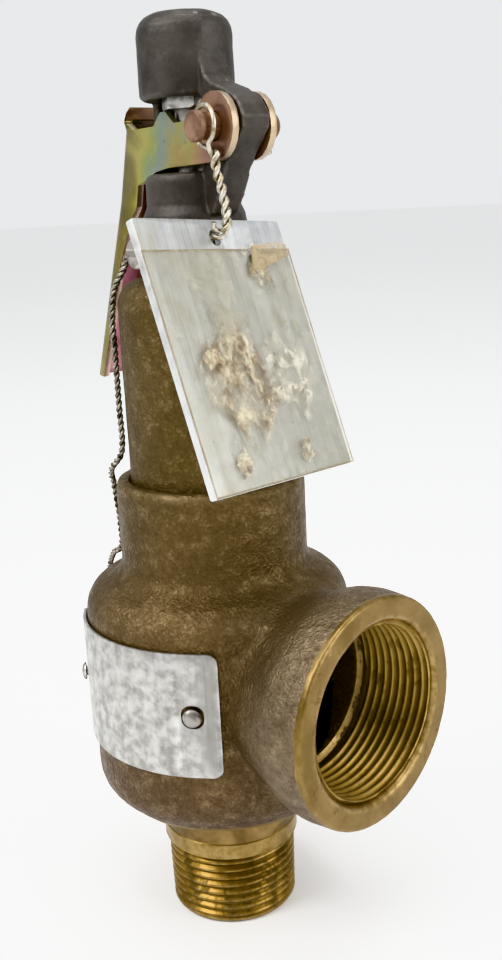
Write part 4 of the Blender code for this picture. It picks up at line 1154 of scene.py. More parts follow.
@dataclass
class BodyCasting(SubAssembly):
    """The cast body, with its machined outlet mouth and the thread inside it."""

    voxel: float = 0.8 * MM
    base_top: float = 35.2 * MM
    outlet_reach: float = 51.0 * MM
    outlet_r: float = 27.25 * MM
    mouth_r: float = 22.2 * MM
    thread_root: float = 21.3 * MM
    thread_crest: float = 20.05 * MM
    thread_from: float = 31.0 * MM
    thread_to: float = 50.1 * MM
    sleeve_r: float = 21.9 * MM
    sleeve_l: float = 30.0 * MM
    faced_off: float = 0.5 * MM
    join_from: Vector = Vector((12.0, 29.5, 20.5)) * MM
    join_fade: tuple[float, float] = (38.0 * MM, 5.0 * MM)
    join_passes: int = 30
    lumps: tuple[tuple[float, float], ...] = ((5.0 * MM, 0.22 * MM), (1.6 * MM, 0.10 * MM))
    rim_round: float = 0.9 * MM
    rim_depth: float = 2.4 * MM
    rim_lumps: tuple[float, float] = (2.2 * MM, 0.2 * MM)

    def drill(self, name: str, radius: float, depth: float, start: float) -> Piece:
        """A cylinder along the outlet, to cut with."""
        tool = primitive(
            "cylinder", name, vertices=96, radius=radius, depth=depth, location=(0.0, 0.0, start + depth / 2)
        )
        return set_down(tool, pointing(0.0, OUTLET_HEIGHT))

    def casting(self) -> Piece:
        """The body with its outlet opened up for the threaded sleeve, and its corners softened."""
        obj = copy_of("body", "body_casting")
        face = self.outlet_reach - self.faced_off
        end = self.drill("outlet_end", 40.0 * MM, 10.0 * MM, face)
        room = self.drill("outlet_room", self.sleeve_r, self.sleeve_l, self.thread_from - 1.0 * MM)
        carve(carve(obj, end), room)
        modify(obj, "REMESH", mode="VOXEL", voxel_size=self.voxel)
        modify(obj, "SMOOTH", factor=0.5, iterations=6)

        def at_join(place: Vector) -> float:
            """Full along the join of outlet and bowl, and none on the nameplate's side."""
            radius = place.xy.length
            off_axis = math.hypot(place.y, place.z - OUTLET_HEIGHT)
            if any(value < least for value, least in zip((place.x, radius, off_axis), self.join_from)):
                return 0.0
            start, length = self.join_fade
            return 1.0 - min(1.0, max(0.0, (radius - start) / length))

        join = weigh(obj, "join", at_join)
        modify(obj, "SMOOTH", factor=0.5, iterations=self.join_passes, vertex_group=join)
        for size, depth in self.lumps:
            roughen(obj, size, depth)
        return smooth(hold_inside(obj, "body"), 60.0)

    def mouth(self) -> Piece:
        """The machined face round the outlet, worn and bumpy at its outer edge."""
        face = self.outlet_reach - 0.05 * MM
        edge, back, inner = self.outlet_r, face - self.rim_depth, self.thread_root + 0.1 * MM
        flat = edge - self.rim_round - self.mouth_r
        profile = [(self.mouth_r + flat * i / 6, face) for i in range(7)]
        profile += arc((edge - self.rim_round, face - self.rim_round), self.rim_round, 76, 0, 5)
        profile += [(edge, face - 1.5 * MM), (edge, back), (inner, back), (inner, face - self.rim_round)]
        obj = set_down(turned("outlet_mouth", profile, 256, ring=True), pointing(0.0, OUTLET_HEIGHT))

        def at_rim(place: Vector) -> float:
            """Full at the outer edge, and none on the flat."""
            off_axis = math.hypot(place.y, place.z - OUTLET_HEIGHT)
            return max(0.0, (off_axis - edge + 1.5 * MM) / (1.5 * MM))

        roughen(obj, *self.rim_lumps, weigh(obj, "rim", at_rim))
        return smooth(hold_inside(obj, "body"), 50.0)

    def build(self) -> list[Made]:
        """Models the casting, its mouth, the thread and the plain band behind it."""
        at_outlet = pointing(0.0, OUTLET_HEIGHT)
        ridges = ridge(self.thread_crest, self.thread_root)
        thread = threaded("outlet_thread", ridges, self.thread_from, self.thread_to, 0.4 * MM)
        behind = turned(
            "outlet_band",
            [
                (20.9 * MM, self.thread_from + 0.3 * MM),
                (21.8 * MM, self.thread_from + 0.3 * MM),
                (21.8 * MM, 28.0 * MM),
                (19.3 * MM, 28.0 * MM),
                (19.3 * MM, 29.0 * MM),
                (20.6 * MM, 30.0 * MM),
            ],
            ring=True,
        )
        bright = TurnedBrass("outlet_brass", Turning.OUTLET, stain_level=0.60, roughness=0.44)
        stained = TurnedBrass(
            "outlet_thread_brass", Turning.OUTLET, bright=(0.330, 0.225, 0.078), deep=(0.215, 0.136, 0.038),
            stain_level=0.56, stain_amount=0.6, roughness=0.47,
        )
        cast = CastBronze("cast_bronze_body", machined_below=self.base_top)
        return [
            Made(self.casting(), cast, Slot.CAST, ("body",)),
            Made(self.mouth(), bright, Slot.BRASS, ("body",)),
            Made(set_down(thread, at_outlet), stained, Slot.BRASS, ("body",)),
            Made(set_down(smooth(behind), at_outlet), bright, Slot.BRASS, ("body",)),
        ]


@dataclass
class Inlet(SubAssembly):
    """The screwed-in nozzle, with the pipe thread at its foot and the seat at its top."""

    bore_r: float = 12.0 * MM
    collar_r: float = 17.55 * MM
    thread_crest: float = 16.7 * MM
    thread_root: float = 15.75 * MM
    thread_low: float = 1.3 * MM
    thread_high: float = 18.5 * MM
    thread_taper: float = 1.0 / 40.0
    collar_low: float = 19.2 * MM
    body_low: float = 32.9 * MM
    seat: float = 52.0 * MM

    def build(self) -> list[Made]:
        """Models the nozzle, its thread and the ring that is screwed round it."""
        root = self.thread_root
        collar = self.collar_r
        profile = [
            (self.bore_r, 0.0), (15.3 * MM, 0.0), (15.6 * MM, 0.15 * MM), (root + 0.5 * MM, 1.0 * MM),
            (root + 0.5 * MM, 1.4 * MM), (root - 0.3 * MM, 1.9 * MM), (root - 0.1 * MM, 17.6 * MM),
            (root + 0.5 * MM, 18.5 * MM), (collar - 0.35 * MM, self.collar_low),
            (collar, self.collar_low + 0.35 * MM), (collar, 23.3 * MM), (collar - 0.25 * MM, 23.6 * MM),
            (collar - 0.25 * MM, self.body_low - 0.3 * MM), (collar - 0.5 * MM, self.body_low),
            (14.2 * MM, self.body_low), (14.2 * MM, 40.0 * MM), (12.2 * MM, 40.0 * MM),
            (12.2 * MM, self.seat - 1.2 * MM), (10.4 * MM, self.seat), (8.6 * MM, self.seat),
            (8.6 * MM, 34.0 * MM), (self.bore_r, self.collar_low),
        ]
        nozzle = smooth(turned("inlet_nozzle", profile, ring=True), 25.0)
        ridges = ridge(self.thread_crest, root)
        thread = threaded(
            "inlet_thread", ridges, self.thread_low, self.thread_high, -0.5 * MM, self.thread_taper
        )
        ring = break_edges(copy_of("regulator_ring", "blowdown_ring"), 0.2 * MM)
        brass = TurnedBrass(
            "inlet_brass", bright=(0.265, 0.182, 0.070), deep=(0.175, 0.112, 0.036),
            tarnish_above=23.5 * MM, stain_level=0.60, roughness=0.40,
        )
        streaked = TurnedBrass(
            "inlet_thread_brass", bright=(0.240, 0.150, 0.038), deep=(0.140, 0.080, 0.017),
            stain=(0.045, 0.030, 0.010), stain_level=0.51, stain_amount=0.8, roughness=0.36, streaked=True,
        )
        return [
            Made(nozzle, brass, Slot.BRASS, ("nozzle",)),
            Made(thread, streaked, Slot.BRASS, ("nozzle",)),
            Made(ring, TRIM_BRASS, Slot.BRASS, ("regulator_ring",)),
        ]


@dataclass
class Bonnet(SubAssembly):
    """The bonnet over the spring, and the turned pieces that show through the outlet."""

    radius: float = 19.5 * MM
    wall: float = 4.2 * MM
    low: float = 100.5 * MM
    top: float = 164.0 * MM
    round: float = 6.5 * MM
    screw_r: float = 6.8 * MM
    roof: float = 7.0 * MM
    chamfer: float = 2.0 * MM
    voxel: float = 0.7 * MM
    lumps: tuple[float, float] = (6.0 * MM, 0.2 * MM)
    edge_break: float = 0.25 * MM

    def build(self) -> list[Made]:
        """Models the bonnet, the guide, the disc and the holder."""
        inside = self.radius - self.wall
        profile = [(self.screw_r, self.top)]
        profile += arc((self.radius - self.round, self.top - self.round), self.round, 90, 0, 10)
        profile += [(self.radius, 138.0 * MM), (self.radius, 122.0 * MM), (self.radius, self.low)]
        ceiling = self.top - self.roof
        profile += [(inside, self.low), (inside, ceiling - self.chamfer)]
        profile += [(inside - self.chamfer, ceiling), (self.screw_r, ceiling)]
        shell = turned("bonnet_shell", profile, ring=True)
        modify(shell, "REMESH", mode="VOXEL", voxel_size=self.voxel)
        modify(shell, "SMOOTH", factor=0.5, iterations=3)
        roughen(shell, *self.lumps)
        made = [Made(smooth(shell, 60.0), CastBronze("cast_bronze_bonnet"), Slot.CAST, ("bonnet",))]
        for node, name, finish, slot, body in (
            ("guide", "stem_guide", TRIM_BRASS, Slot.BRASS, "valve"),
            ("disc_holder", "holder", TRIM_BRASS, Slot.BRASS, "stem_assembly"),
            ("disc", "seat_disc", BRIGHT_STEEL, Slot.STEEL, "stem_assembly"),
        ):
            piece = break_edges(copy_of(node, name), self.edge_break)
            made.append(Made(piece, finish, slot, (node,), body))
        return made


@dataclass
class Cap(SubAssembly):
    """The cast cap, its locking screw, and the nuts on the end of the stem."""

    voxel: float = 0.36 * MM
    stump_r: float = 5.2 * MM
    stump_at: Vector = Vector((-1.5, -1.0, 216.6)) * MM
    lumps: tuple[float, float] = (4.5 * MM, 0.26 * MM)

    def casting(self) -> Piece:
        """The cap, with the feeder's stump left on its dome and its corners softened."""
        obj = copy_of("cap", "cap_casting")
        stump = primitive(
            "uv_sphere", "stump", segments=24, ring_count=12, radius=self.stump_r, location=self.stump_at
        )
        carve(obj, set_down(stump, CAP_PLACE), "UNION")
        modify(obj, "REMESH", mode="VOXEL", voxel_size=self.voxel)
        modify(obj, "SMOOTH", factor=0.5, iterations=2)
        roughen(obj, *self.lumps)
        return smooth(hold_inside(obj, "cap"), 60.0)

    def build(self) -> list[Made]:
        """Models the cap, the stem, the two nuts and the screw."""
        made = [Made(self.casting(), CastIron("cap_casting_iron"), Slot.IRON, ("cap",))]
        for node, name in (
            ("stem", "valve_stem"), ("lifting_nut", "lift_nut"), ("lifting_lock_nut", "lift_lock_nut"),
        ):
            piece = break_edges(copy_of(node, name), 0.2 * MM)
            made.append(Made(piece, BRIGHT_STEEL, Slot.STEEL, (node,), "stem_assembly"))
        for node, name in (("cap_screw", "cap_lock_screw"), ("ring_screw", "ring_lock_screw")):
            made.append(Made(break_edges(copy_of(node, name), 0.25 * MM), DULL_STEEL, Slot.STEEL, (node,)))
        return made


@dataclass
class Lever(SubAssembly):
    """The pressed lever on its pin."""

    wing_in: float = 4.15 * MM
    wing_out: float = 5.75 * MM
    edge_break: float = 0.22 * MM
    flange_x: float = -18.0 * MM
    flange_z: float = 200.0 * MM
    crown_flat: float = 1.0 * MM
    crown_half: float = 4.75 * MM
    crown_drop: float = 3.4 * MM
    crown_fade: float = 3.0 * MM

    def crown(self, lever: Piece) -> None:
        """Rounds off the two top corners of the lever's flange."""
        back = CAP_PLACE.inverted()
        for vertex in lever.data.vertices:
            own = back @ vertex.co
            if own.x < self.flange_x and own.z > self.flange_z:
                outer = max(0.0, abs(own.y) - self.crown_flat) / self.crown_half
                fade = min(1.0, (own.z - self.flange_z) / self.crown_fade)
                vertex.co.z -= self.crown_drop * outer**2.2 * fade

    def pale_edges(self, lever: Piece, zinc: Finish) -> None:
        """Gives the lever its finish, with a second one on its sheared edges."""
        back = CAP_PLACE.inverted()
        lever.data.materials.append(zinc.material())
        lever.data.materials.append(YellowZinc("yellow_zinc_edge", edge=True).material())
        for face in lever.data.polygons:
            centre = back @ face.center
            turned_way = back.to_3x3() @ face.normal
            within = self.wing_in < abs(centre.y) < self.wing_out and abs(turned_way.y) < 0.9
            on_wing = centre.x > -19.0 * MM or (turned_way.x > 0.35 and centre.x > -41.0 * MM)
            if within and (on_wing or centre.z < 138.6 * MM):
                face.material_index = 1

    def build(self) -> list[Made]:
        """Models the lever with its pale cut edges, the pin, its washer and its split pin."""
        lever = break_edges(copy_of("lever", "lifting_lever"), self.edge_break, 2, 28.0)
        self.crown(lever)
        zinc = YellowZinc("yellow_zinc_lever")
        self.pale_edges(lever, zinc)
        bronze = PlainMetal(
            "pin_bronze_head", base=(0.155, 0.085, 0.052), shade=(0.085, 0.045, 0.028),
            rubbed=(0.28, 0.17, 0.11), roughness=0.5, scale=260.0, depth=0.05, metallic=0.45,
        )
        pin = break_edges(copy_of("lever_pin", "pivot_pin"), 0.3 * MM, 3)
        washer = break_edges(copy_of("pin_washer", "pivot_washer"), 0.2 * MM)
        split = smooth(copy_of("pin_cotter", "split_pin"), 60.0)
        return [
            Made(lever, zinc, Slot.ZINC, ("lever",), "lever"),
            Made(pin, bronze, Slot.PIN, ("lever_pin",)),
            Made(washer, DULL_STEEL, Slot.STEEL, ("pin_washer",)),
            Made(split, DULL_STEEL, Slot.STEEL, ("pin_cotter",)),
        ]


@dataclass
class Nameplate(SubAssembly):
    """The blank plate wrapped round the bowl, with its two round-head rivets."""

    width: float = 55.0 * MM
    height: float = 30.5 * MM
    thickness: float = 0.8 * MM
    corner: float = 2.4 * MM
    radius: float = 33.3 * MM
    middle: float = 66.85 * MM
    at: float = math.radians(-92.0)
    rivet_spread: float = 42.0 * MM
    bowl_r: float = 33.0 * MM
    rivet_r: float = 2.25 * MM
    slot: tuple[float, float] = (5.2 * MM, 5.6 * MM)
    slot_corner: float = 2.3 * MM
    slot_depth: float = 5.0 * MM
    wrap_share: float = 1.01
    columns: int = 72
    lift: float = 0.35 * MM
    lift_reach: float = 7.0 * MM

    def sheet(self) -> Piece:
        """The plate: cut, slotted and trimmed flat, then wrapped, with its right edge a little proud."""
        plate = primitive("cube", "nameplate_sheet", size=1.0)
        plate.scale = (self.width, self.thickness, self.height)
        set_down(plate)
        with editing(plate, "EDGE"):
            pick(plate, "edges", lambda edge: runs_through(edge, self.thickness / 2))
            bpy.ops.mesh.bevel(offset=self.corner, segments=7, affect="EDGES")
        for side in (-1.0, 1.0):
            across = side * self.rivet_spread / 2 * self.wrap_share
            slot = primitive("cube", "slot", size=1.0, location=(across, 0.0, 0.0))
            slot.scale = (self.slot[0], self.slot_depth, self.slot[1])
            set_down(slot)
            with editing(slot, "EDGE"):
                pick(slot, "edges", lambda edge: runs_through(edge, self.slot_depth / 2))
                bpy.ops.mesh.bevel(offset=self.slot_corner, segments=6, affect="EDGES")
            carve(plate, slot)
        break_edges(plate, 0.16 * MM, 2)
        with editing(plate):
            for i in range(1, self.columns):
                bpy.ops.mesh.select_all(action="SELECT")
                across = self.width * (i / self.columns - 0.5)
                bpy.ops.mesh.bisect(plane_co=(across, 0.0, 0.0), plane_no=(1.0, 0.0, 0.0))
        keep_flat_places(plate)
        for vertex in plate.data.vertices:
            across, out, up = vertex.co
            proud = max(0.0, (across - self.width / 2 + self.lift_reach) / self.lift_reach)
            angle = self.at + across / self.radius
            distance = self.radius + self.thickness / 2 - out + self.lift * proud * proud
            vertex.co = (distance * math.cos(angle), distance * math.sin(angle), self.middle + up)
        return smooth(face_out(plate), 34.0)

    def rivet(self, side: int) -> Piece:
        """A domed rivet head on the plate at one side, with its shank through the slot."""
        crown = 1.2 * MM
        face = self.radius + self.thickness + 0.3 * MM
        profile = [(1.17 * MM, self.bowl_r - 3.0 * MM), (1.17 * MM, face), (self.rivet_r - 0.15 * MM, face)]
        profile += [
            (self.rivet_r * math.cos(turn), face + 0.1 * MM + (crown - 0.1 * MM) * math.sin(turn))
            for turn in (math.pi / 2 * i / 8 for i in range(8))
        ]
        angle = math.degrees(self.at) + side * math.degrees(self.rivet_spread / self.bowl_r / 2)
        name = "rivet_head_right" if side > 0 else "rivet_head_left"
        return set_down(smooth(turned(name, profile, 40), 40.0), pointing(angle, self.middle))

    def build(self) -> list[Made]:
        """Models the plate and its two rivets."""
        plate = BrushedSheet(
            "nameplate_alloy", base=(0.260, 0.252, 0.234), shade=(0.222, 0.214, 0.196),
            stain=(0.19, 0.17, 0.14), stain_amount=0.12, metallic=0.75, roughness=0.40,
            line_scale=1100.0, relief=0.012,
        )
        steel = PlainMetal(
            "rivet_steel", base=(0.24, 0.225, 0.205), shade=(0.12, 0.105, 0.09), roughness=0.34
        )
        return [
            Made(self.sheet(), plate, Slot.ALUMINIUM, ("nameplate",)),
            Made(self.rivet(-1), steel, Slot.STEEL, ("rivet_left",)),
            Made(self.rivet(1), steel, Slot.STEEL, ("rivet_right",)),
        ]


@dataclass(frozen=True)
class GluePatch:
    """A patch of old glue: where its middle lies from the plate's hole, its size and its crinkles."""

    name: str
    across: float
    up: float
    wide: float
    high: float
    seed: int
    finish: Finish


@dataclass
class HangingPlate(SubAssembly):
    """The plate that hangs from the pin, with old film, glue and the wire that carries it."""

    width: float = 48.2 * MM
    height: float = 58.7 * MM
    thickness: float = 1.8 * MM
    corner: float = 0.7 * MM
    edge_break: float = 0.22 * MM
    hole_drop: float = 4.1 * MM
    hole_r: float = 1.8 * MM
    hole_at: Vector = Vector((18.1, -11.2, 172.7)) * MM
    turn: tuple[float, float, float] = (math.radians(-20.6), math.radians(3.2), math.radians(97.0))
    pin_at: Vector = Vector((18.3, 0.0, 195.7)) * MM
    loop_r: float = 4.3 * MM
    loop_plane: float = -8.2 * MM
    strand_r: float = 0.56 * MM
    twist: float = 5.0 * MM
    wire_end: int = 68
    hang: tuple[tuple[float, float, float], ...] = (
        (18.7, -10.8, 190.2), (18.7, -10.3, 186.7), (19.5, -9.8, 182.6), (20.6, -10.0, 178.4),
        (21.2, -10.6, 175.4),
    )
    through_hole: tuple[float, ...] = (-1.6, 2.0, 4.0)
    loop_from: float = -58.0
    loop_turn: float = 296.0
    loop_steps: int = 24
    loop_pitch: float = 1.2 * MM
    film_over: float = 0.8 * MM
    film_short: float = 2.9 * MM
    film_top: float = 2.8 * MM
    film_off: float = 0.42 * MM
    film_ripple: float = 0.13 * MM
    film_t: float = 0.12 * MM
    glue_end: float = 1.05
    glue_off: float = 0.75
    glue_lift: float = 0.28
    strip_from: float = 9.0
    strip_l: float = 14.2
    strip_off: float = 0.85
    strip_curl: float = 1.5
    strip_up: tuple[float, float] = (-5.6, 2.3)
    strip_half: tuple[float, float] = (3.7, -2.3)
    strip_t: float = 0.1 * MM

    def place(self) -> Matrix:
        """Where the plate hangs, its own X across, its face towards -Y, and the hole's middle at nought."""
        return Matrix.Translation(self.hole_at) @ Euler(self.turn, "YXZ").to_matrix().to_4x4()

    def plate(self) -> Piece:
        """The plate with its hole and broken edges."""
        obj = primitive("cube", "hanging_plate", size=1.0)
        obj.scale = (self.width, self.thickness, self.height)
        obj.location = (0.0, self.thickness / 2, self.hole_drop - self.height / 2)
        set_down(obj)
        with editing(obj, "EDGE"):
            pick(obj, "edges", lambda edge: runs_through(edge, self.thickness / 2))
            bpy.ops.mesh.bevel(offset=self.corner, segments=4, affect="EDGES")
        hole = primitive(
            "cylinder", "hole", vertices=40, radius=self.hole_r, depth=8.0 * MM,
            rotation=(math.pi / 2, 0.0, 0.0),
        )
        carve(obj, set_down(hole))
        break_edges(obj, self.edge_break, 3)
        keep_flat_places(obj)
        return set_down(obj, self.place())

    def film(self) -> Piece:
        """The film over the plate's face, slack and slightly rippled."""
        wide, high = self.width + self.film_over, self.height - self.hole_drop - self.film_short
        obj = primitive("grid", "clear_film", x_subdivisions=72, y_subdivisions=80, size=1.0)
        obj.scale = (wide, high, 1.0)
        obj.rotation_euler = (math.pi / 2, 0.0, 0.0)
        obj.location = (0.0, -self.film_off, -self.film_top - high / 2)
        set_down(obj)
        for vertex in obj.data.vertices:
            ripple = noise.noise(vertex.co * 90.0) + 0.5 * noise.noise(vertex.co * 260.0)
            vertex.co.y += self.film_ripple * ripple
        modify(obj, "SOLIDIFY", thickness=self.film_t, offset=0.0)
        keep_flat_places(obj)
        return set_down(smooth(obj, 50.0), self.place())

    def glue(self, patch: GluePatch) -> Piece:
        """One crinkled patch of old glue on the film, thinning out at its ragged rim.

        Args:
            patch: Where it lies and how large it is.

        Returns:
            The patch in its place, with a rim attribute from 0 at its middle to 1.
        """
        obj = primitive("grid", patch.name, x_subdivisions=70, y_subdivisions=70, size=2.0)
        rim = obj.data.attributes.new("rim", "FLOAT", "POINT")
        for index, vertex in enumerate(obj.data.vertices):
            x, y = vertex.co.x, vertex.co.y
            wander = noise.noise(Vector((x * 2.3, y * 2.3, patch.seed * 5.1)))
            rim.data[index].value = math.hypot(x, y) + 0.45 * wander
            folds = noise.noise(Vector((x * 5.0, y * 5.0, patch.seed * 7.3)))
            crinkles = noise.noise(Vector((x * 14.0, y * 14.0, patch.seed * 3.1)))
            off = self.glue_off + self.glue_lift * (folds + 0.6 * crinkles)
            vertex.co = (patch.across + x * patch.wide / 2, -off * MM, patch.up + y * patch.high / 2)
        gone = {vertex.index for vertex in obj.data.vertices if rim.data[vertex.index].value > self.glue_end}
        with editing(obj):
            pick(obj, "verts", lambda vertex: vertex.index in gone)
            bpy.ops.mesh.delete(type="VERT")
        keep_flat_places(obj)
        with editing(obj):
            bpy.ops.mesh.select_all(action="SELECT")
            bpy.ops.mesh.flip_normals()
        return set_down(smooth(obj, 60.0), self.place())

    def curl(self) -> Piece:
        """A torn strip of the old label, curling off the film."""
        obj = primitive("grid", "curled_strip", x_subdivisions=40, y_subdivisions=6, size=2.0)
        for vertex in obj.data.vertices:
            x, y = vertex.co.x, vertex.co.y
            along = (x + 1.0) / 2.0
            half = self.strip_half[0] + self.strip_half[1] * along
            wander = 0.35 * noise.noise(Vector((x * 2.0, 1.7, 0.0)))
            curl = self.strip_curl * math.sin(math.pi * along) ** 0.8 * (0.6 + 0.4 * y)
            vertex.co = (
                (self.strip_from + self.strip_l * along + 0.42 * half * y * (1.0 - along)) * MM,
                (-self.strip_off - curl + 0.3 * wander) * MM,
                (self.strip_up[0] + self.strip_up[1] * along + 0.9 * half * y + wander) * MM,
            )
        rim = obj.data.attributes.new("rim", "FLOAT", "POINT")
        for value in rim.data:
            value.value = -0.6
        keep_flat_places(obj)
        modify(obj, "SOLIDIFY", thickness=self.strip_t, offset=0.0)
        return set_down(smooth(obj, 60.0), self.place())

    def wire(self) -> Piece:
        """One length of wire, looped over the pin, twisted on itself and put through the plate's hole."""
        through = self.place().to_3x3() @ Vector((0.0, 1.0, 0.0))
        hang = [Vector(point) * MM for point in self.hang]
        hang += [self.hole_at + through * step * MM for step in self.through_hole]
        first, second = twisted_pair(smooth_path(hang, 14), self.strand_r * 1.06, self.twist)
        loop = []
        for step in range(self.loop_steps + 1):
            share = step / self.loop_steps
            angle = math.radians(self.loop_from + self.loop_turn * share)
            at = self.pin_at + Vector((math.cos(angle), 0.0, math.sin(angle))) * self.loop_r
            at.y = self.loop_plane + (share - 0.5) * self.loop_pitch
            loop.append(CAP_PLACE @ at)
        end = second[self.wire_end]
        tail = [end, end + Vector((-0.2, -1.6, 0.8)) * MM, end + Vector((0.3, -1.9, 2.0)) * MM]
        runs = [
            smooth_path([*first[::-1][::4], *loop[::2], *second[: self.wire_end : 4]], 5),
            smooth_path(tail, 6),
        ]
        return wires("twisted_tag_wire", runs, self.strand_r, 4)

    def build(self) -> list[Made]:
        """Models the plate, the film, the glue, the torn strip and the wire."""
        sheet = BrushedSheet("plate_alloy", metallic=0.85)
        film, glue = ClearFilm("clear_film_old"), OldGlue("old_glue", cover=1.05)
        thin = OldGlue("old_glue_thin", pale=(0.86, 0.84, 0.72), tan=(0.52, 0.46, 0.32), cover=0.6)
        label = OldGlue(
            "torn_label", pale=(0.46, 0.37, 0.22), tan=(0.36, 0.27, 0.15), dark=(0.27, 0.19, 0.10), cover=0.9
        )
        patches = (
            GluePatch("glue_main", -7.0 * MM, -31.0 * MM, 27.0 * MM, 33.0 * MM, 1, glue),
            GluePatch("glue_pale", 10.5 * MM, -31.5 * MM, 20.0 * MM, 24.0 * MM, 2, thin),
            GluePatch("glue_lump", 11.5 * MM, -8.5 * MM, 9.0 * MM, 10.0 * MM, 3, glue),
            GluePatch("glue_top", 12.5 * MM, -3.6 * MM, 13.0 * MM, 6.0 * MM, 6, thin),
            GluePatch("glue_spot_left", -13.5 * MM, -49.0 * MM, 6.0 * MM, 7.0 * MM, 4, glue),
            GluePatch("glue_spot_right", 8.0 * MM, -49.0 * MM, 5.5 * MM, 7.0 * MM, 5, glue),
        )
        wire = PlainMetal(
            "beige_wire", base=(0.40, 0.35, 0.24), shade=(0.20, 0.16, 0.10), roughness=0.36, scale=500.0
        )
        made = [
            Made(self.plate(), sheet, Slot.ALUMINIUM, ("tag_plate",), "tag"),
            Made(self.film(), film, Slot.FILM, ("tag_film",), "tag"),
            Made(self.curl(), label, Slot.FILM, (), "tag"),
            Made(self.wire(), wire, Slot.WIRE, ("tag_wire",), "tag"),
        ]
        made += [Made(self.glue(patch), patch.finish, Slot.FILM, (), "tag") for patch in patches]
        return made


def twisted_pair(middle: Sequence[Vector], apart: float, pitch: float) -> tuple[list[Vector], list[Vector]]:
    """Two strands wound round a line.

    Args:
        middle: The line's points.
        apart: Each strand's distance from it.
        pitch: The length of one whole turn.

    Returns:
        The two strands' points.
    """
    side = (middle[1] - middle[0]).orthogonal().normalized()
    run = 0.0
    first, second = [], []
    for index, point in enumerate(middle):
        ahead = middle[min(index + 1, len(middle) - 1)] - middle[max(index - 1, 0)]
        along = ahead.normalized()
        side = (side - along * side.dot(along)).normalized()
        if index:
            run += (point - middle[index - 1]).length
        offset = Matrix.Rotation(2.0 * math.pi * run / pitch, 3, along) @ side * apart
        first.append(point + offset)
        second.append(point - offset)
    return first, second


@dataclass
class Seal(SubAssembly):
    """The wire that seals the cap screw to the ring screw, and the lead pressed on it."""

    strand_r: float = 0.42 * MM
    twist: float = 3.4 * MM
    head_r: float = 15.85 * MM
    lead_voxel: float = 0.22 * MM
    lead_lumps: tuple[float, float] = (1.2 * MM, 0.2 * MM)

    def route(self) -> list[Vector]:
        """The wire's points, from the cap screw down the back of the valve to the ring screw."""
        start = around(-95.0, self.head_r, 169.8 * MM)
        tangent = around(-5.0, 1.0 * MM, 0.0)
        return [
            start + tangent * 6.0, start, start - tangent * 5.0,
            around(-122.0, 17.6 * MM, 166.2 * MM), around(-128.0, 19.95 * MM, 161.6 * MM),
            around(-130.0, 20.95 * MM, 155.0 * MM), around(-131.0, 20.95 * MM, 148.0 * MM),
            around(-129.0, 20.95 * MM, 134.0 * MM), around(-131.0, 21.15 * MM, 123.0 * MM),
            around(-138.0, 24.35 * MM, 117.8 * MM), around(-146.0, 24.95 * MM, 113.0 * MM),
            around(-149.0, 24.65 * MM, 104.0 * MM), around(-153.0, 25.55 * MM, 95.9 * MM),
            around(-160.0, 30.0 * MM, 92.4 * MM), around(-168.0, 34.75 * MM, 85.0 * MM),
            around(-176.0, 35.35 * MM, 73.5 * MM), around(178.0, 37.4 * MM, 65.0 * MM),
            around(175.0, 38.0 * MM, 53.0 * MM), around(175.0, 38.0 * MM, 42.0 * MM),
        ]

    def build(self) -> list[Made]:
        """Models the twisted wire and the lead seal."""
        strands = twisted_pair(smooth_path(self.route(), 26), self.strand_r, self.twist)
        wire = wires("twisted_seal_wire", strands, self.strand_r, 3)
        lead = copy_of("lead_seal", "pressed_seal")
        modify(lead, "REMESH", mode="VOXEL", voxel_size=self.lead_voxel)
        modify(lead, "SMOOTH", factor=0.5, iterations=4)
        roughen(lead, *self.lead_lumps)
        dark = PlainMetal(
            "seal_wire_steel", base=(0.17, 0.15, 0.12), shade=(0.055, 0.048, 0.038),
            rubbed=(0.36, 0.33, 0.28), roughness=0.42, scale=500.0,
        )
        soft = PlainMetal(
            "seal_lead", base=(0.22, 0.22, 0.23), shade=(0.12, 0.12, 0.125), rubbed=(0.42, 0.42, 0.43),
            roughness=0.5, scale=260.0, depth=0.1,
        )
        return [
            Made(wire, dark, Slot.WIRE, ("seal_wire",)),
            Made(smooth(lead, 60.0), soft, Slot.LEAD, ("lead_seal",)),
        ]


class HiddenTrim(SubAssembly):
    """The solids that the bonnet and the cap hide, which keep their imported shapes."""

    def build(self) -> list[Made]:
        """Dresses the spring, its steps, the compression screw and its nut where they are."""
        steel = PlainMetal("spring_oiled", base=(0.20, 0.19, 0.18), shade=(0.09, 0.085, 0.08), roughness=0.4)
        finishes = {
            "spring": steel,
            "lower_spring_step": BRIGHT_STEEL,
            "upper_spring_step": BRIGHT_STEEL,
            "compression_screw": TRIM_BRASS,
            "jam_nut": TRIM_BRASS,
        }
        for node, finish in finishes.items():
            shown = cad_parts[node]
            shown.data.materials.clear()
            shown.data.materials.append(finish.material())
            LOG.info("%s keeps its packed shape", node)
        return []


# ---------------------------------------------------------------- the picture


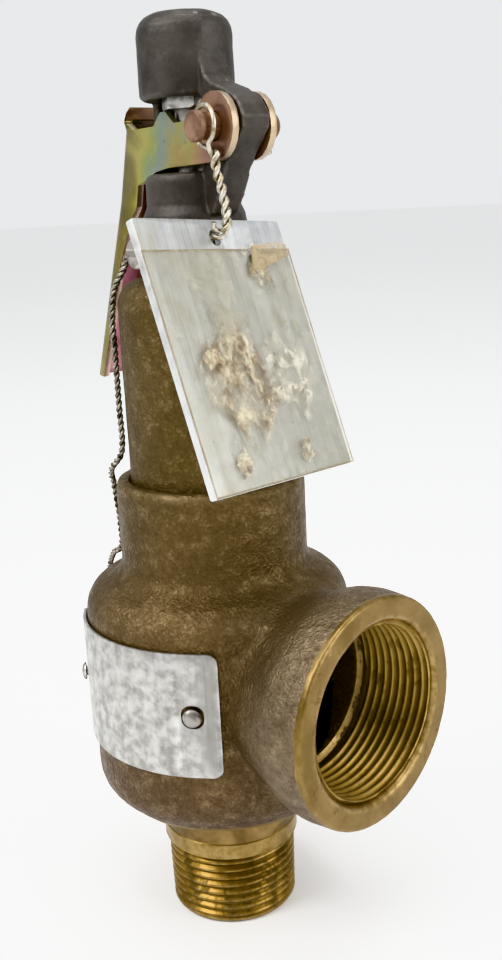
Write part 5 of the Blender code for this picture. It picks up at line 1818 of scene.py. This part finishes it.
@dataclass
class Studio:
    """A pale floor, soft lamps and the camera."""

    camera_at: tuple[float, float, float] = (0.189585, -0.176519, 0.177947)
    camera_turn: tuple[float, float, float] = (75.989, 2.848, 44.137)
    lens: float = 40.49
    sensor: float = 36.0
    floor_size: float = 60.0
    sky: Colour = (0.93, 0.94, 0.95)
    lamps: tuple[tuple[str, tuple[float, float, float], float, float], ...] = (
        ("key_lamp", (-0.25, -0.75, 0.85), 0.45, 9.0),
        ("side_lamp", (0.85, 0.25, 0.45), 0.50, 5.0),
        ("top_lamp", (0.10, -0.05, 0.95), 0.50, 5.0),
    )
    target: Vector = Vector((0.0, 0.0, 0.11))

    def camera(self) -> None:
        """The camera at the picture's angle, all in focus."""
        data = bpy.data.cameras.new("camera")
        data.lens = self.lens
        data.sensor_width = self.sensor
        data.clip_start = 0.01
        data.dof.use_dof = False
        obj = bpy.data.objects.new("camera", data)
        obj.location = self.camera_at
        obj.rotation_euler = [math.radians(angle) for angle in self.camera_turn]
        bpy.context.scene.collection.objects.link(obj)
        bpy.context.scene.camera = obj

    def light(self) -> None:
        """Soft lamps round the object and an even sky."""
        for name, place, size, power in self.lamps:
            data = bpy.data.lights.new(name, "AREA")
            data.size = size
            data.energy = power
            lamp = bpy.data.objects.new(name, data)
            lamp.location = place
            lamp.rotation_euler = (self.target - Vector(place)).to_track_quat("-Z", "Y").to_euler()
            bpy.context.scene.collection.objects.link(lamp)
        world = bpy.data.worlds.new("pale_room")
        world.use_nodes = True
        background = world.node_tree.nodes["Background"]
        background.inputs["Color"].default_value = (*self.sky, 1.0)
        background.inputs["Strength"].default_value = 0.95
        bpy.context.scene.world = world

    def floor(self) -> None:
        """A pale floor that the object stands on."""
        floor = primitive("plane", "floor", size=self.floor_size)
        floor.data.materials.append(PaleFloor("pale_floor").material())

    def build(self) -> None:
        """Sets the camera, the lamps and the floor."""
        bpy.context.scene.view_settings.view_transform = "Khronos PBR Neutral"
        self.camera()
        self.light()
        self.floor()


def main() -> None:
    """Builds the valve piece by piece, then the picture round it."""
    logging.basicConfig(level=logging.INFO, format="%(message)s")
    Studio().build()
    for assembly in (
        BodyCasting(), Inlet(), Bonnet(), Cap(), Lever(), Nameplate(), HangingPlate(), Seal(), HiddenTrim()
    ):
        LOG.info("%s", type(assembly).__name__)
        assembly.dress(assembly.build())


if __name__ == "__main__":
    main()
